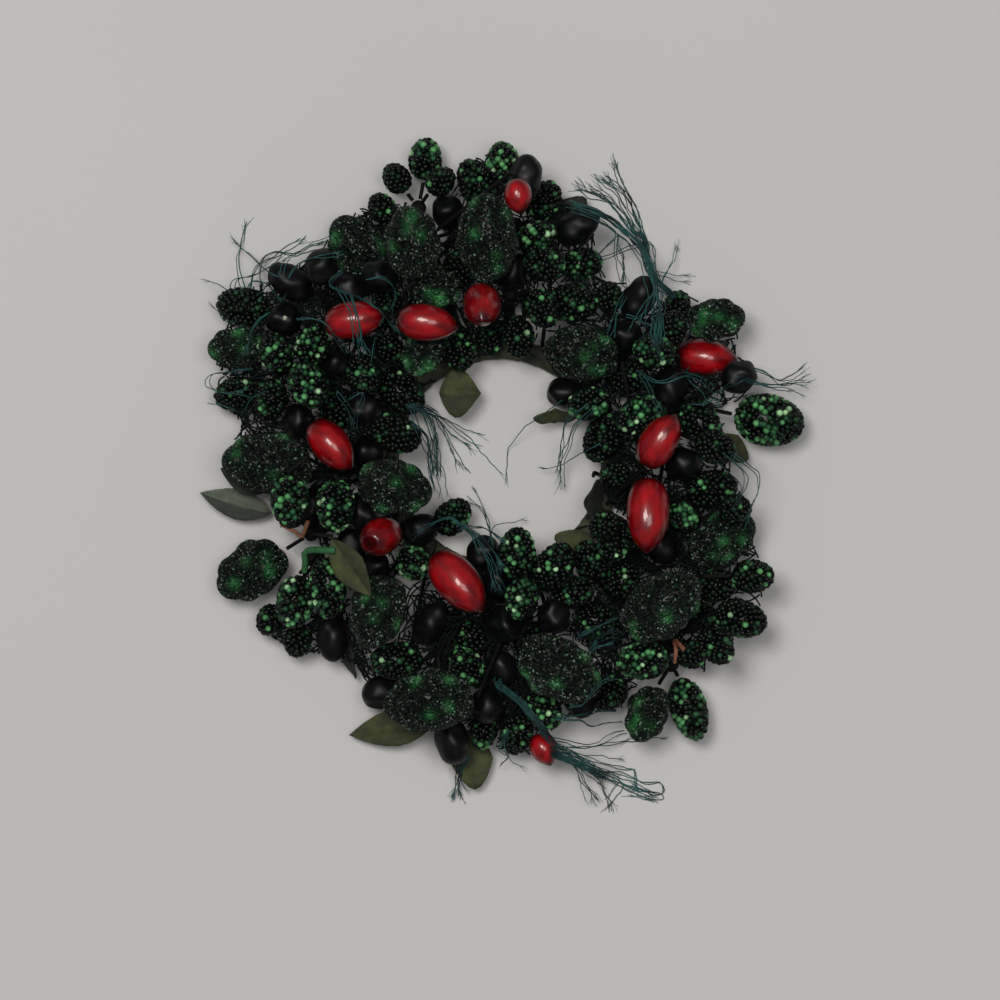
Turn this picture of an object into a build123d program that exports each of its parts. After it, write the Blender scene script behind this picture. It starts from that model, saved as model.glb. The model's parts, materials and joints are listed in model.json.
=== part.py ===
from build123d import *
import math
import os

import numpy as np

# Candle ring: a taped wire hoop that carries wired sprays of artificial berries, sugared fruit,
# red hips, fabric leaves and frayed twine. Origin on the table at the middle of the candle hole, +Z up.
# All sizes are in millimetres, all angles in degrees.

# The hoop
HOOP_RADIUS = 22.8
HOOP_WIRE_DIAMETER = 2.4
TAPE_DIAMETER = 4.4
TAPE_FIT = 0.06
FOOT_DEPTH = 0.5

# Stems: posts bound with tape, fine wires to the fruit, and the knots that tie them
POST_DIAMETER = 2.0
POST_HEIGHT = 6.0
KNOT_DIAMETER = 3.2
STEM_DIAMETER = 0.8
STEM_SEAT = 0.12
TIED_LENGTH = 3.0
POST_SEAT = 0.25
HINGE_GAP = 0.3
PIVOT_HEIGHT = 7.5
SPRIG_LIFT = 20.0
LEAF_LIFT = 20.0
STEM_BEND_RADIUS = 0.8
SHARPEST_TURN = 95.0

# Fruit sizes, over the beads or granules
SMALL_BERRY_LENGTH = 6.8
SMALL_BERRY_WIDTH = 5.8
BERRY_LENGTH = 8.8
BERRY_WIDTH = 7.0
PLUMP_BERRY_LENGTH = 11.0
PLUMP_BERRY_WIDTH = 8.0
LONG_BERRY_LENGTH = 13.4
LONG_BERRY_WIDTH = 7.8
LARGE_BERRY_LENGTH = 14.6
LARGE_BERRY_WIDTH = 10.8
SMALL_FRUIT_LENGTH = 12.2
SMALL_FRUIT_WIDTH = 9.2
FRUIT_LENGTH = 16.0
FRUIT_WIDTH = 12.0
LARGE_FRUIT_LENGTH = 19.0
LARGE_FRUIT_WIDTH = 13.2
DARK_BERRY_LENGTH = 8.0
DARK_BERRY_WIDTH = 7.0
LONG_DARK_LENGTH = 10.4
LONG_DARK_WIDTH = 7.2
SMALL_HIP_LENGTH = 7.6
SMALL_HIP_WIDTH = 5.8
HIP_LENGTH = 13.2
HIP_WIDTH = 7.8
LARGE_HIP_LENGTH = 16.4
LARGE_HIP_WIDTH = 9.0

# Lobes of the sugared fruit: how many, how far they stand out, and their radius as a share of the half width
LOBE_COUNT = 12
LOBE_RELIEF = 0.7
LOBE_SHARE = 0.55

# Leaves and twine
LEAF_THICKNESS = 0.36
LEAF_CUP_RADIUS = 9.0
TWINE_STRAND_DIAMETER = 0.6
TWINE_FALL = 0.9

# Spacing
FRUIT_CLEARANCE = 0.35
STEM_CLEARANCE = 0.25
TABLE_CLEARANCE = 0.6

# Least heights of the three layers of fruit
LOW = 7.0
MIDDLE = 12.0
HIGH = 17.0

# The places of the sprays were measured on a hoop of this radius and move out with a larger one
MEASURED_HOOP_RADIUS = 22.8

HOOP_HEIGHT = TAPE_DIAMETER / 2 - FOOT_DEPTH
KNOT_RADIUS = KNOT_DIAMETER / 2
STEM_RADIUS = STEM_DIAMETER / 2
SHOULDER = 0.44  # where a fruit is widest, as a share of its length from the stem
QUARTER = 0.5523  # control share of a curve that follows a quarter ellipse
UP = Vector(0, 0, 1)
GOLDEN_TURN = math.pi * (3 - math.sqrt(5))
NOSE_SLOPE = 1.6  # how fast a pointed tip closes
BEND_SHARE = 0.45  # the part of a run that a bend at its end may take
DRAPE_STEPS = 10  # places along a run where a strand looks for what is under it

# Where spheres stand for the solids while places are found: along a fruit's end, and along and across a leaf
END_SHARES = (0.3, 0.55, 0.8, 1.0)
LEAF_ALONG = (0.04, 0.2, 0.35, 0.5, 0.65, 0.8, 0.96)
LEAF_ACROSS = (-0.95, -0.5, 0.0, 0.5, 0.95)

# What is tried for a stem: heights on a post, turns round the hoop, and an elbow's reach, drop and lean
POST_SHARES = (1.0, 0.85, 0.77, 0.69, 0.61, 0.53, 0.45, 0.37, 0.29)
HOOP_TURNS = range(-60, 61, 6)
ELBOW_REACHES = (1.5, 3.0, 5.0, 8.0, 10.0, 12.0, 15.0)
DROP_SHARES = (0.0, 0.6, 1.5, 4.0)
LEAN_SHARES = (-1.6, -0.7, 0.0, 0.7, 1.6)

# Size classes: length, width and form
ROUND, POINTED, LOBED = "round", "pointed", "lobed"
SMALL_BERRY = (SMALL_BERRY_LENGTH, SMALL_BERRY_WIDTH, ROUND)
BERRY = (BERRY_LENGTH, BERRY_WIDTH, ROUND)
PLUMP_BERRY = (PLUMP_BERRY_LENGTH, PLUMP_BERRY_WIDTH, ROUND)
LONG_BERRY = (LONG_BERRY_LENGTH, LONG_BERRY_WIDTH, ROUND)
LARGE_BERRY = (LARGE_BERRY_LENGTH, LARGE_BERRY_WIDTH, ROUND)
SMALL_FRUIT = (SMALL_FRUIT_LENGTH, SMALL_FRUIT_WIDTH, LOBED)
FRUIT = (FRUIT_LENGTH, FRUIT_WIDTH, LOBED)
LARGE_FRUIT = (LARGE_FRUIT_LENGTH, LARGE_FRUIT_WIDTH, LOBED)
DARK_BERRY = (DARK_BERRY_LENGTH, DARK_BERRY_WIDTH, ROUND)
LONG_DARK = (LONG_DARK_LENGTH, LONG_DARK_WIDTH, ROUND)
SMALL_HIP = (SMALL_HIP_LENGTH, SMALL_HIP_WIDTH, POINTED)
HIP = (HIP_LENGTH, HIP_WIDTH, POINTED)
LARGE_HIP = (LARGE_HIP_LENGTH, LARGE_HIP_WIDTH, POINTED)

# Posts: where the tape knot of each bunch stands, by spray
POSTS = {
    "north": [(-20, 46), (3, 48), (2, 34)],
    "north_east": [(33, 28)],
    "east": [(40.6, 12.3), (39, -9)],
    "south_east": [(38, -27), (34, -38)],
    "south": [(5, -45), (-12, -42)],
    "south_west": [(-38, -20), (-28, -29)],
    "west": [(-39, -3)],
    "north_west": [(-44, 19), (-37, 33)],
}

# Fruit by spray and kind: size class, x, y, heading of the tip, tilt of the tip, layer
FRUIT_ROWS = {
    "north_beaded_berries": [
        (SMALL_BERRY, -2.2, 24.4, -90, 20, LOW),
        (PLUMP_BERRY, -20.0, 13.8, -40, 10, LOW),
        (SMALL_BERRY, -24.0, 51.4, 120, 10, LOW),
        (PLUMP_BERRY, -4.6, 56.4, 120, 10, LOW),
        (BERRY, 0.6, 60.4, 95, 5, LOW),
        (BERRY, 9.0, 53.0, 60, 10, LOW),
        (BERRY, 7.4, 45.2, 20, 20, MIDDLE),
        (BERRY, 9.0, 39.6, 0, 15, MIDDLE),
        (BERRY, 16.6, 40.0, 10, 5, LOW),
        (PLUMP_BERRY, 14.8, 32.0, 0, 20, MIDDLE),
        (BERRY, 8.4, 30.6, -60, 25, HIGH),
        (BERRY, 3.6, 25.0, -80, 15, MIDDLE),
        (BERRY, -8.4, 39.0, 90, 40, LOW),
        (SMALL_BERRY, -22.8, 32.8, 110, 20, LOW),
        (SMALL_BERRY, -22.4, 22.6, 130, 20, LOW),
        (BERRY, -8.0, 22.4, -90, 10, LOW),
    ],
    "north_sugared_fruit": [
        (FRUIT, -29.0, 43.0, 120, 15, LOW),
        (FRUIT, -17.6, 43.8, 95, 25, MIDDLE),
        (SMALL_FRUIT, -13.8, 35.0, 175, 15, LOW),
        (LARGE_FRUIT, -2.6, 45.0, 90, 20, MIDDLE),
        (SMALL_FRUIT, -15.4, 22.4, -120, 10, LOW),
    ],
    "north_dark_berries": [
        (DARK_BERRY, -10.6, 50.6, 110, 20, LOW),
        (DARK_BERRY, 2.4, 38.4, 60, 20, LOW),
        (DARK_BERRY, -30.6, 34.6, 140, 20, LOW),
        (DARK_BERRY, -24.4, 37.2, 150, 10, LOW),
        (LONG_DARK, 5.0, 57.0, 75, 10, MIDDLE),
        (LONG_DARK, 15.8, 47.4, 35, 10, MIDDLE),
    ],
    "north_red_hips": [
        (SMALL_HIP, 3.6, 53.0, -85, 5, MIDDLE),
        (HIP, -14.6, 27.6, -8, 5, HIGH),
        (HIP, -3.6, 31.0, -90, 62, HIGH),
    ],
    "north_east_beaded_berries": [
        (SMALL_BERRY, 22.0, 33.0, 80, 30, MIDDLE),
        (SMALL_BERRY, 36.0, 31.4, 70, 10, LOW),
        (BERRY, 34.4, 26.4, 60, 25, MIDDLE),
        (BERRY, 31.0, 22.0, 170, 15, MIDDLE),
        (BERRY, 26.0, 17.0, 200, 10, LOW),
    ],
    "north_east_sugared_fruit": [
        (SMALL_FRUIT, 43.8, 28.6, 5, 5, LOW),
    ],
    "north_east_dark_berries": [
        (DARK_BERRY, 25.4, 25.4, 150, 20, LOW),
        (LONG_DARK, 28.0, 32.6, 60, 25, MIDDLE),
    ],
    "north_east_red_hips": [
        (HIP, 42.0, 21.0, -5, 8, LOW),
    ],
    "east_beaded_berries": [
        (PLUMP_BERRY, 40.6, 7.6, -60, 10, LOW),
        (BERRY, 43.4, 2.6, -20, 10, MIDDLE),
        (PLUMP_BERRY, 28.4, 9.0, 200, 20, MIDDLE),
        (BERRY, 17.8, 11.4, 190, 10, MIDDLE),
        (PLUMP_BERRY, 21.0, 4.6, -120, 15, LOW),
        (SMALL_BERRY, 37.2, -11.4, -40, 20, MIDDLE),
        (SMALL_BERRY, 23.4, -3.0, 180, 20, LOW),
        (PLUMP_BERRY, 43.0, -5.8, 10, 10, LOW),
        (SMALL_BERRY, 47.6, -9.6, -5, 5, LOW),
    ],
    "east_sugared_fruit": [
        (FRUIT, 16.4, 21.6, 170, 10, MIDDLE),
        (FRUIT, 44.8, -15.8, 25, 10, LOW),
    ],
    "east_dark_berries": [
        (LONG_DARK, 34.6, 14.6, 80, 10, LOW),
        (DARK_BERRY, 37.2, -0.6, 0, 20, LOW),
        (DARK_BERRY, 33.0, -17.6, -60, 10, LOW),
        (DARK_BERRY, 48.4, 17.0, 25, 5, LOW),
        (DARK_BERRY, 13.2, 14.0, 180, 10, LOW),
    ],
    "east_red_hips": [
        (HIP, 32.2, 4.0, 59, 12, HIGH),
        (LARGE_HIP, 29.8, -11.0, -92, 14, HIGH),
    ],
    "south_east_beaded_berries": [
        (BERRY, 44.0, -25.4, 10, 15, LOW),
        (SMALL_BERRY, 41.2, -31.6, -20, 20, LOW),
        (SMALL_BERRY, 38.6, -39.4, -30, 10, LOW),
        (BERRY, 18.4, -20.2, 120, 10, LOW),
        (PLUMP_BERRY, 20.2, -33.0, 150, 10, LOW),
        (SMALL_BERRY, 21.0, -13.0, 200, 20, MIDDLE),
        (BERRY, 23.4, -16.6, 230, 20, LOW),
        (BERRY, 24.8, -24.4, -120, 10, LOW),
        (BERRY, 51.2, -23.4, 0, 5, LOW),
        (PLUMP_BERRY, 48.8, -32.0, -15, 8, LOW),
        (BERRY, 43.6, -37.4, -50, 5, LOW),
        (PLUMP_BERRY, 28.8, -40.4, 185, 15, MIDDLE),
        (BERRY, 22.0, -47.4, -150, 8, LOW),
    ],
    "south_east_sugared_fruit": [
        (LARGE_FRUIT, 32.6, -29.2, 35, 15, MIDDLE),
    ],
    "south_beaded_berries": [
        (PLUMP_BERRY, 3.4, -18.8, 85, 10, MIDDLE),
        (PLUMP_BERRY, 11.0, -21.4, 60, 20, MIDDLE),
        (BERRY, 4.4, -28.0, -100, 20, MIDDLE),
        (BERRY, 14.6, -26.6, 0, 10, LOW),
        (BERRY, 6.0, -36.4, -80, 15, LOW),
        (BERRY, -6.0, -36.6, 90, 15, LOW),
        (BERRY, -6.8, -41.8, 120, 25, MIDDLE),
        (SMALL_BERRY, -3.4, -55.4, -100, 5, LOW),
        (BERRY, 9.0, -50.6, -50, 10, MIDDLE),
        (BERRY, 3.4, -55.6, -100, 5, LOW),
        (PLUMP_BERRY, -21.0, -40.6, 180, 5, MIDDLE),
        (BERRY, -9.6, -11.4, 45, 10, LOW),
    ],
    "south_sugared_fruit": [
        (LARGE_FRUIT, 12.0, -42.0, -30, 15, MIDDLE),
        (LARGE_FRUIT, -14.4, -48.6, 185, 10, MIDDLE),
    ],
    "south_dark_berries": [
        (LONG_DARK, -14.0, -33.0, 60, 10, LOW),
        (DARK_BERRY, 10.8, -31.6, 90, 30, LOW),
        (DARK_BERRY, 0.4, -42.4, 90, 30, LOW),
        (DARK_BERRY, -3.4, -18.6, 60, 20, LOW),
        (DARK_BERRY, -0.6, -25.0, 80, 40, LOW),
        (DARK_BERRY, -24.6, -47.0, 200, 5, LOW),
        (LONG_DARK, -9.6, -57.0, -80, 5, LOW),
        (DARK_BERRY, -2.6, -49.6, -90, 30, MIDDLE),
        (DARK_BERRY, 1.2, -33.2, -60, 20, LOW),
        (DARK_BERRY, 16.2, -48.6, -60, 5, LOW),
    ],
    "south_red_hips": [
        (LARGE_HIP, -8.4, -24.6, -50, 15, HIGH),
        (SMALL_HIP, 9.0, -58.6, -70, 10, LOW),
    ],
    "south_west_beaded_berries": [
        (PLUMP_BERRY, -41.4, -28.6, -100, 5, LOW),
        (SMALL_BERRY, -46.8, -32.4, -120, 5, LOW),
        (SMALL_BERRY, -41.2, -36.8, -100, 5, LOW),
        (LONG_BERRY, -34.6, -25.4, -90, 5, MIDDLE),
        (BERRY, -17.6, -20.8, -60, 65, MIDDLE),
    ],
    "south_west_sugared_fruit": [
        (FRUIT, -24.6, -30.6, -110, 15, MIDDLE),
    ],
    "south_west_dark_berries": [
        (DARK_BERRY, -30.4, -17.4, 100, 20, LOW),
        (DARK_BERRY, -16.4, -14.0, 30, 10, LOW),
        (DARK_BERRY, -25.6, -22.0, 60, 20, LOW),
        (LONG_DARK, -34.0, -36.0, -90, 5, LOW),
    ],
    "south_west_red_hips": [
        (HIP, -23.8, -15.2, 33, -62, MIDDLE),
    ],
    "west_beaded_berries": [
        (PLUMP_BERRY, -42.2, -8.4, -85, 10, MIDDLE),
        (PLUMP_BERRY, -33.2, -9.2, -90, 10, MIDDLE),
        (BERRY, -33.0, 10.4, 90, 15, LOW),
        (PLUMP_BERRY, -21.0, 5.4, -20, 10, MIDDLE),
    ],
    "west_sugared_fruit": [
        (FRUIT, -21.2, -5.4, -15, 10, MIDDLE),
        (LARGE_FRUIT, -47.0, -0.6, 175, 5, LOW),
    ],
    "west_dark_berries": [
        (DARK_BERRY, -27.6, 10.4, 180, 30, LOW),
        (DARK_BERRY, -41.0, 8.0, 100, 20, LOW),
        (DARK_BERRY, -27.0, 1.6, -20, 20, LOW),
        (DARK_BERRY, -28.0, -10.8, -60, 20, LOW),
        (DARK_BERRY, -38.4, -9.6, -90, 20, LOW),
    ],
    "west_red_hips": [
        (HIP, -34.0, 3.0, -50, 10, HIGH),
    ],
    "north_west_beaded_berries": [
        (PLUMP_BERRY, -52.4, 31.4, 170, 5, LOW),
        (BERRY, -45.6, 22.0, 120, 30, MIDDLE),
        (BERRY, -38.0, 23.6, 70, 20, MIDDLE),
        (BERRY, -54.0, 13.6, 195, 5, LOW),
        (BERRY, -46.6, 12.4, -100, 10, LOW),
        (PLUMP_BERRY, -38.6, 15.2, -60, 30, MIDDLE),
        (BERRY, -27.6, 17.4, -60, 20, LOW),
    ],
    "north_west_sugared_fruit": [
        (SMALL_FRUIT, -53.4, 22.8, 180, 5, LOW),
    ],
    "north_west_dark_berries": [
        (DARK_BERRY, -44.0, 28.4, 170, 15, LOW),
        (DARK_BERRY, -33.4, 19.8, 0, 30, LOW),
        (DARK_BERRY, -36.2, 39.0, 80, 10, LOW),
        (LONG_DARK, -42.6, 36.4, 150, 10, LOW),
    ],
    "north_west_red_hips": [
        (HIP, -29.4, 28.4, 8, 8, HIGH),
    ],
}

# Sprigs at the rim, which bend on the knot of a post: its spray, place and heading, and their fruit as above
SPRIG_POSTS = {
    "top_sprig": ("north", -16.6, 51.4, 90),
    "right_sprig": ("east", 42.0, 10.6, -10),
    "lower_right_sprig": ("south_east", 34.8, -41.4, -90),
    "lower_left_sprig": ("south_west", -38.4, -14.8, 212),
}
SPRIG_ROWS = {
    "top_sprig_beaded_berries": [
        (BERRY, -15.2, 61.4, 85, 5, LOW),
        (SMALL_BERRY, -21.0, 57.4, 125, 5, LOW),
        (SMALL_BERRY, -12.0, 56.6, 45, 5, LOW),
    ],
    "right_sprig_beaded_berry": [
        (LARGE_BERRY, 54.8, 8.2, -10, 5, LOW),
    ],
    "lower_right_sprig_beaded_berry": [
        (LONG_BERRY, 38.4, -50.6, -72, 5, LOW),
    ],
    "lower_right_sprig_sugared_fruit": [
        (SMALL_FRUIT, 29.8, -51.4, -112, 5, LOW),
    ],
    "lower_left_sprig_sugared_fruit": [
        (FRUIT, -50.6, -22.4, 212, 5, LOW),
    ],
}

# Leaves: spray, x and y of the base, heading, tilt, roll, length, width, least height
FIXED_LEAF_ROWS = [
    ("west", -47.0, -6.4, 152, 4, 10, 11.0, 6.4, 3.4),
    ("east", 15.6, 9.6, 184, 0, -58, 9.0, 6.0, 7.0),
    ("east", 18.8, -3.6, -92, -4, -60, 10.0, 6.4, 9.0),
    ("south", 20.0, -18.4, 164, 4, 0, 9.6, 6.4, 7.0),
    ("east", 43.4, 5.4, -36, 0, 0, 9.0, 6.0, 3.0),
    ("north", 9.0, 47.0, 34, 0, 0, 11.0, 7.0, 3.0),
    ("south_west", -33.4, -15.6, -58, 0, 20, 14.0, 7.0, 16.0),
    ("south_west", -31.0, -33.6, -82, 0, 65, 11.0, 6.0, 4.0),
]
BENDING_LEAF_ROWS = {
    "left_leaf": ("west", -46.6, -10.8, 163, 3, -8, 15.2, 6.4, 3.4),
    "bottom_left_leaf": ("south", -13.0, -53.2, 189, 0, 6, 18.0, 7.8, 3.4),
    "bottom_leaf": ("south", -6.4, -54.6, -86, 0, -6, 12.6, 9.0, 3.4),
    "hole_leaf": ("north", -8.0, 19.0, -91, 0, 8, 10.4, 8.4, 6.2),
}

# Twine tufts: strands as points in plan, laid over whatever is under them
TWINE_ROWS = {
    "upper_left_twine_tuft": [
        [(-41.6, 33.6), (-46.0, 37.0), (-49.0, 41.6), (-52.6, 45.4)],
        [(-40.6, 34.4), (-42.6, 38.4), (-42.4, 41.6), (-44.0, 44.6)],
        [(-39.4, 34.6), (-38.8, 39.0), (-37.4, 42.0), (-36.4, 44.6)],
        [(-42.2, 32.6), (-48.0, 34.6), (-53.0, 35.0), (-58.0, 36.6)],
        [(-42.4, 31.4), (-48.0, 31.6), (-53.4, 31.8), (-58.4, 30.6)],
        [(-42.0, 30.2), (-48.0, 28.6), (-54.0, 27.8), (-58.0, 25.6)],
        [(-38.4, 33.8), (-34.0, 34.4), (-28.6, 32.2), (-23.6, 28.2)],
    ],
    "top_right_twine_bundle": [
        [(14.6, 51.4), (20.0, 50.2), (25.4, 46.8), (29.4, 43.2), (31.8, 39.0), (31.8, 32.4)],
        [(14.4, 50.2), (19.6, 49.0), (24.6, 45.8), (28.6, 42.4), (30.6, 38.4), (30.6, 33.0)],
        [(14.2, 49.0), (19.0, 47.8), (23.6, 44.8), (27.6, 41.6), (29.4, 37.8), (29.4, 33.4)],
        [(33.0, 32.6), (33.1, 39.2), (31.0, 44.6), (27.2, 49.0), (23.6, 51.8), (19.0, 55.4)],
        [(34.1, 32.4), (34.2, 39.5), (32.2, 45.1), (29.2, 49.6), (26.4, 53.2), (22.8, 57.4)],
        [(35.2, 32.2), (35.3, 39.8), (33.4, 45.6), (31.2, 50.2), (28.6, 54.6), (25.0, 59.0)],
        [(37.6, 31.8), (37.0, 35.6), (38.6, 38.0), (41.0, 37.6)],
    ],
    "right_twine_tuft": [
        [(46.2, 19.2), (51.0, 20.2), (55.6, 18.6), (60.4, 17.0)],
        [(46.6, 18.0), (51.2, 18.4), (55.8, 16.4), (60.6, 14.0)],
        [(44.0, 0.6), (49.0, -1.8), (51.6, -6.2), (50.2, -12.0)],
        [(45.0, 1.8), (50.4, -0.6), (53.2, -6.0), (51.6, -12.4)],
    ],
    "inner_left_twine_tuft": [
        [(-21.0, 10.6), (-18.6, 9.4), (-16.4, 6.4), (-15.4, 3.4)],
        [(-22.0, 9.8), (-19.6, 8.2), (-17.4, 5.0), (-16.6, 1.6)],
        [(-23.0, 9.0), (-20.8, 7.0), (-18.8, 3.6), (-17.8, 0.4)],
    ],
    "lower_right_twine_tail": [
        [(1.6, -46.4), (6.4, -51.6), (11.6, -57.2), (18.8, -62.2), (26.6, -66.0), (33.4, -68.4)],
        [(0.6, -47.2), (5.4, -52.4), (10.8, -58.2), (17.8, -63.4), (24.6, -67.2), (30.0, -70.4)],
        [(-0.4, -48.0), (4.4, -53.2), (9.8, -59.2), (15.4, -64.0), (20.4, -67.6), (22.6, -70.6)],
        [(14.8, -50.4), (17.4, -52.8), (20.2, -53.2), (22.8, -52.2)],
        [(11.0, -53.2), (16.2, -58.2), (26.8, -61.2), (33.0, -60.4)],
    ],
}


class Spread:
    """A piece in its place: where it stands, its axis from stem to tip, and spheres that fill it."""

    def __init__(self, name, spray, x, y, heading, tilt, layer):
        self.name = name
        self.spray = spray
        self.x, self.y = on_hoop(x, y)
        self.layer = layer
        self.tilt = tilt
        turn, lean = math.radians(heading), math.radians(tilt)
        ahead = Vector(math.cos(turn), math.sin(turn), 0)
        self.axis = ahead * math.cos(lean) + UP * math.sin(lean)
        self.side = UP.cross(ahead)
        self.height = 0.0

    def origin(self):
        return Vector(self.x, self.y, self.height)

    def spots(self):
        """The middles of the piece's spheres where it stands."""
        return self.offsets + np.array([self.x, self.y, self.height])


class Fruit(Spread):
    """A berry, fruit or hip: its origin is halfway along it."""

    def __init__(self, name, spray, row):
        self.form, *place = row
        super().__init__(name, spray, *place)
        length, width, _ = self.form
        half = width / 2
        widest = length * SHOULDER - length / 2
        balls = [(widest, half)]
        for sense, reach in ((-1, length * SHOULDER), (1, length * (1 - SHOULDER))):
            if reach > half:
                spread = reach * reach - half * half
                for share in END_SHARES:
                    along = share * spread / reach
                    balls.append((widest + sense * along, half * math.sqrt(1 - along * along / spread)))
        self.offsets = np.array([tuple(self.axis * along) for along, _ in balls])
        self.radii = np.array([radius for _, radius in balls])

    def lobes(self):
        """The lobes' radius, and a plane for each, in turn round the fruit from stem to tip."""
        length, width, _ = self.form
        half = width / 2
        widest = length * SHOULDER
        radius = LOBE_SHARE * half
        planes = []
        for i in range(LOBE_COUNT):
            along = (i + 0.5) / LOBE_COUNT * length
            reach = widest if along < widest else length - widest
            aside = (along - widest) / reach
            out = half * math.sqrt(1 - aside * aside)
            normal = Vector(aside / reach, out / half**2).normalized()
            turn = i * GOLDEN_TURN
            round_fruit = self.side * math.cos(turn) + self.axis.cross(self.side) * math.sin(turn)
            middle = self.origin() + self.axis * (along - length / 2 - normal.X * radius)
            middle += round_fruit * (out - normal.Y * radius)
            planes.append(Plane(middle, self.axis, round_fruit.cross(self.axis)))
        return radius, planes

    def stem_point(self):
        """Where the stem wire ends, just clear of the stem end, or of the tip of a fruit glued tip down."""
        reach = self.form[0] / 2 + STEM_RADIUS + STEM_SEAT
        return self.origin() + self.axis * (-reach if self.tilt >= 0 else reach)


class Leaf(Spread):
    """A cupped leaf: its origin is its base."""

    def __init__(self, name, row, gap):
        spray, x, y, heading, tilt, roll, self.length, self.width, layer = row
        super().__init__(name, spray, x, y, heading, tilt, layer)
        self.gap = gap
        twist = math.radians(roll)
        self.side = self.side * math.cos(twist) + self.axis.cross(self.side) * math.sin(twist)
        self.normal = self.axis.cross(self.side)
        spots = []
        for along in LEAF_ALONG:
            half = self.width / 2 * (1 - (2 * along - 1) ** 2)
            for across in LEAF_ACROSS:
                cup = LEAF_THICKNESS / 2 + (half * across) ** 2 / (2 * LEAF_CUP_RADIUS)
                spot = self.axis * (along * self.length) + self.side * (half * across)
                spots.append(spot + self.normal * cup)
        self.offsets = np.array([tuple(spot) for spot in spots])
        self.radii = np.full(len(spots), LEAF_THICKNESS)

    def stem_point(self):
        """The end of the stem wire, in line with the sheet and a gap short of its base."""
        return self.origin() - self.axis * (STEM_RADIUS + self.gap) + self.normal * (LEAF_THICKNESS / 2)


def on_hoop(x, y):
    """A measured place, moved outwards by as much as the hoop is larger than the measured one."""
    grown = 1 + (HOOP_RADIUS - MEASURED_HOOP_RADIUS) / math.hypot(x, y)
    return x * grown, y * grown


def stack(blocks):
    """Middles and radii of all the spheres of some blocks, each a pair of arrays."""
    return np.concatenate([spots for spots, _ in blocks]), np.concatenate([radii for _, radii in blocks])


def blocked_heights(x, y, radius, blocks):
    """The spans of height in which a sphere at x, y would touch the hoop or one of the blocks."""
    spots, radii = stack(blocks)
    reach = radii + radius + FRUIT_CLEARANCE
    aside = np.hypot(spots[:, 0] - x, spots[:, 1] - y)
    near = aside < reach
    rise = np.sqrt(reach[near] ** 2 - aside[near] ** 2)
    spans = list(zip(spots[near, 2] - rise, spots[near, 2] + rise))
    reach = TAPE_DIAMETER / 2 + radius + FRUIT_CLEARANCE
    aside = abs(math.hypot(x, y) - HOOP_RADIUS)
    if aside < reach:
        rise = math.sqrt(reach**2 - aside**2)
        spans.append((HOOP_HEIGHT - rise, HOOP_HEIGHT + rise))
    return spans


def lowest_clear(item, blocks):
    """The least height, from the piece's layer up, at which it clears the table, the hoop and the blocks."""
    height = item.layer
    spans = []
    for offset, radius in zip(item.offsets, item.radii):
        height = max(height, radius - offset[2] + TABLE_CLEARANCE)
        for low, high in blocked_heights(item.x + offset[0], item.y + offset[1], radius, blocks):
            spans.append((low - offset[2], high - offset[2]))
    for low, high in sorted(spans):
        if low < height < high:
            height = high
    return height


def run_block(start, end, radius):
    """A straight run as a block of spheres strung along it."""
    count = max(2, math.ceil((end - start).length / radius))
    spots = [tuple(start + (end - start) * (i / count)) for i in range(count + 1)]
    return np.array(spots), np.full(len(spots), radius)


def lifted(block, pivot, direction, angle):
    """A block of spheres turned up about a pivot, on a level axis square to the direction."""
    spots, radii = block
    axis = Axis((0, 0, 0), direction.cross(UP))
    turned = [tuple(pivot + (Vector(*spot) - pivot).rotate(axis, angle)) for spot in spots]
    return np.array(turned), radii


def hoop_point(point, turn=0.0):
    """Where a stem from a point meets the tape, a turn round the hoop from the point's own bearing."""
    bearing = math.atan2(point.Y, point.X) + math.radians(turn)
    middle = Vector(HOOP_RADIUS * math.cos(bearing), HOOP_RADIUS * math.sin(bearing), HOOP_HEIGHT)
    tangent = Vector(-math.sin(bearing), math.cos(bearing), 0)
    away = point - middle
    away = (away - tangent * away.dot(tangent)).normalized()
    return middle + away * (TAPE_DIAMETER / 2 + POST_SEAT)


def run_room(start, end, blocks):
    """Least distance of a straight run from the skin of any sphere of the blocks."""
    spots, radii = stack(blocks)
    start, run = np.array(tuple(start)), np.array(tuple(end - start))
    shares = np.clip((spots - start) @ run / (run @ run), 0.0, 1.0)
    return (np.linalg.norm(spots - start - shares[:, None] * run, axis=1) - radii).min()


def skims_post(start, end, spray):
    """Whether a run cuts into a post of its spray anywhere but where it is tied."""
    spots, radii = stack(post_blocks[spray])
    far = np.linalg.norm(spots - np.array(tuple(end)), axis=1) > TIED_LENGTH
    return run_room(start, end, [(spots[far], radii[far])]) < STEM_RADIUS + STEM_SEAT


def shortest_route(begins, ends, others, own, spray):
    """The shortest route that begins and ends so and whose last run is clear, or None."""
    best, least = None, math.inf
    for begin in begins:
        for end in ends:
            length = (begin[-1] - begin[0]).length + (end - begin[-1]).length
            if length >= least or run_room(begin[-1], end, own) < STEM_RADIUS + STEM_SEAT / 2:
                continue
            if (begin[-1] - begin[0]).length > 0:
                if (begin[-1] - begin[0]).get_angle(end - begin[-1]) > SHARPEST_TURN:
                    continue
            if skims_post(begin[-1], end, spray):
                continue
            if run_room(begin[-1], end, others) >= STEM_RADIUS + STEM_CLEARANCE:
                best, least = [*begin, end], length
    return best


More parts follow.
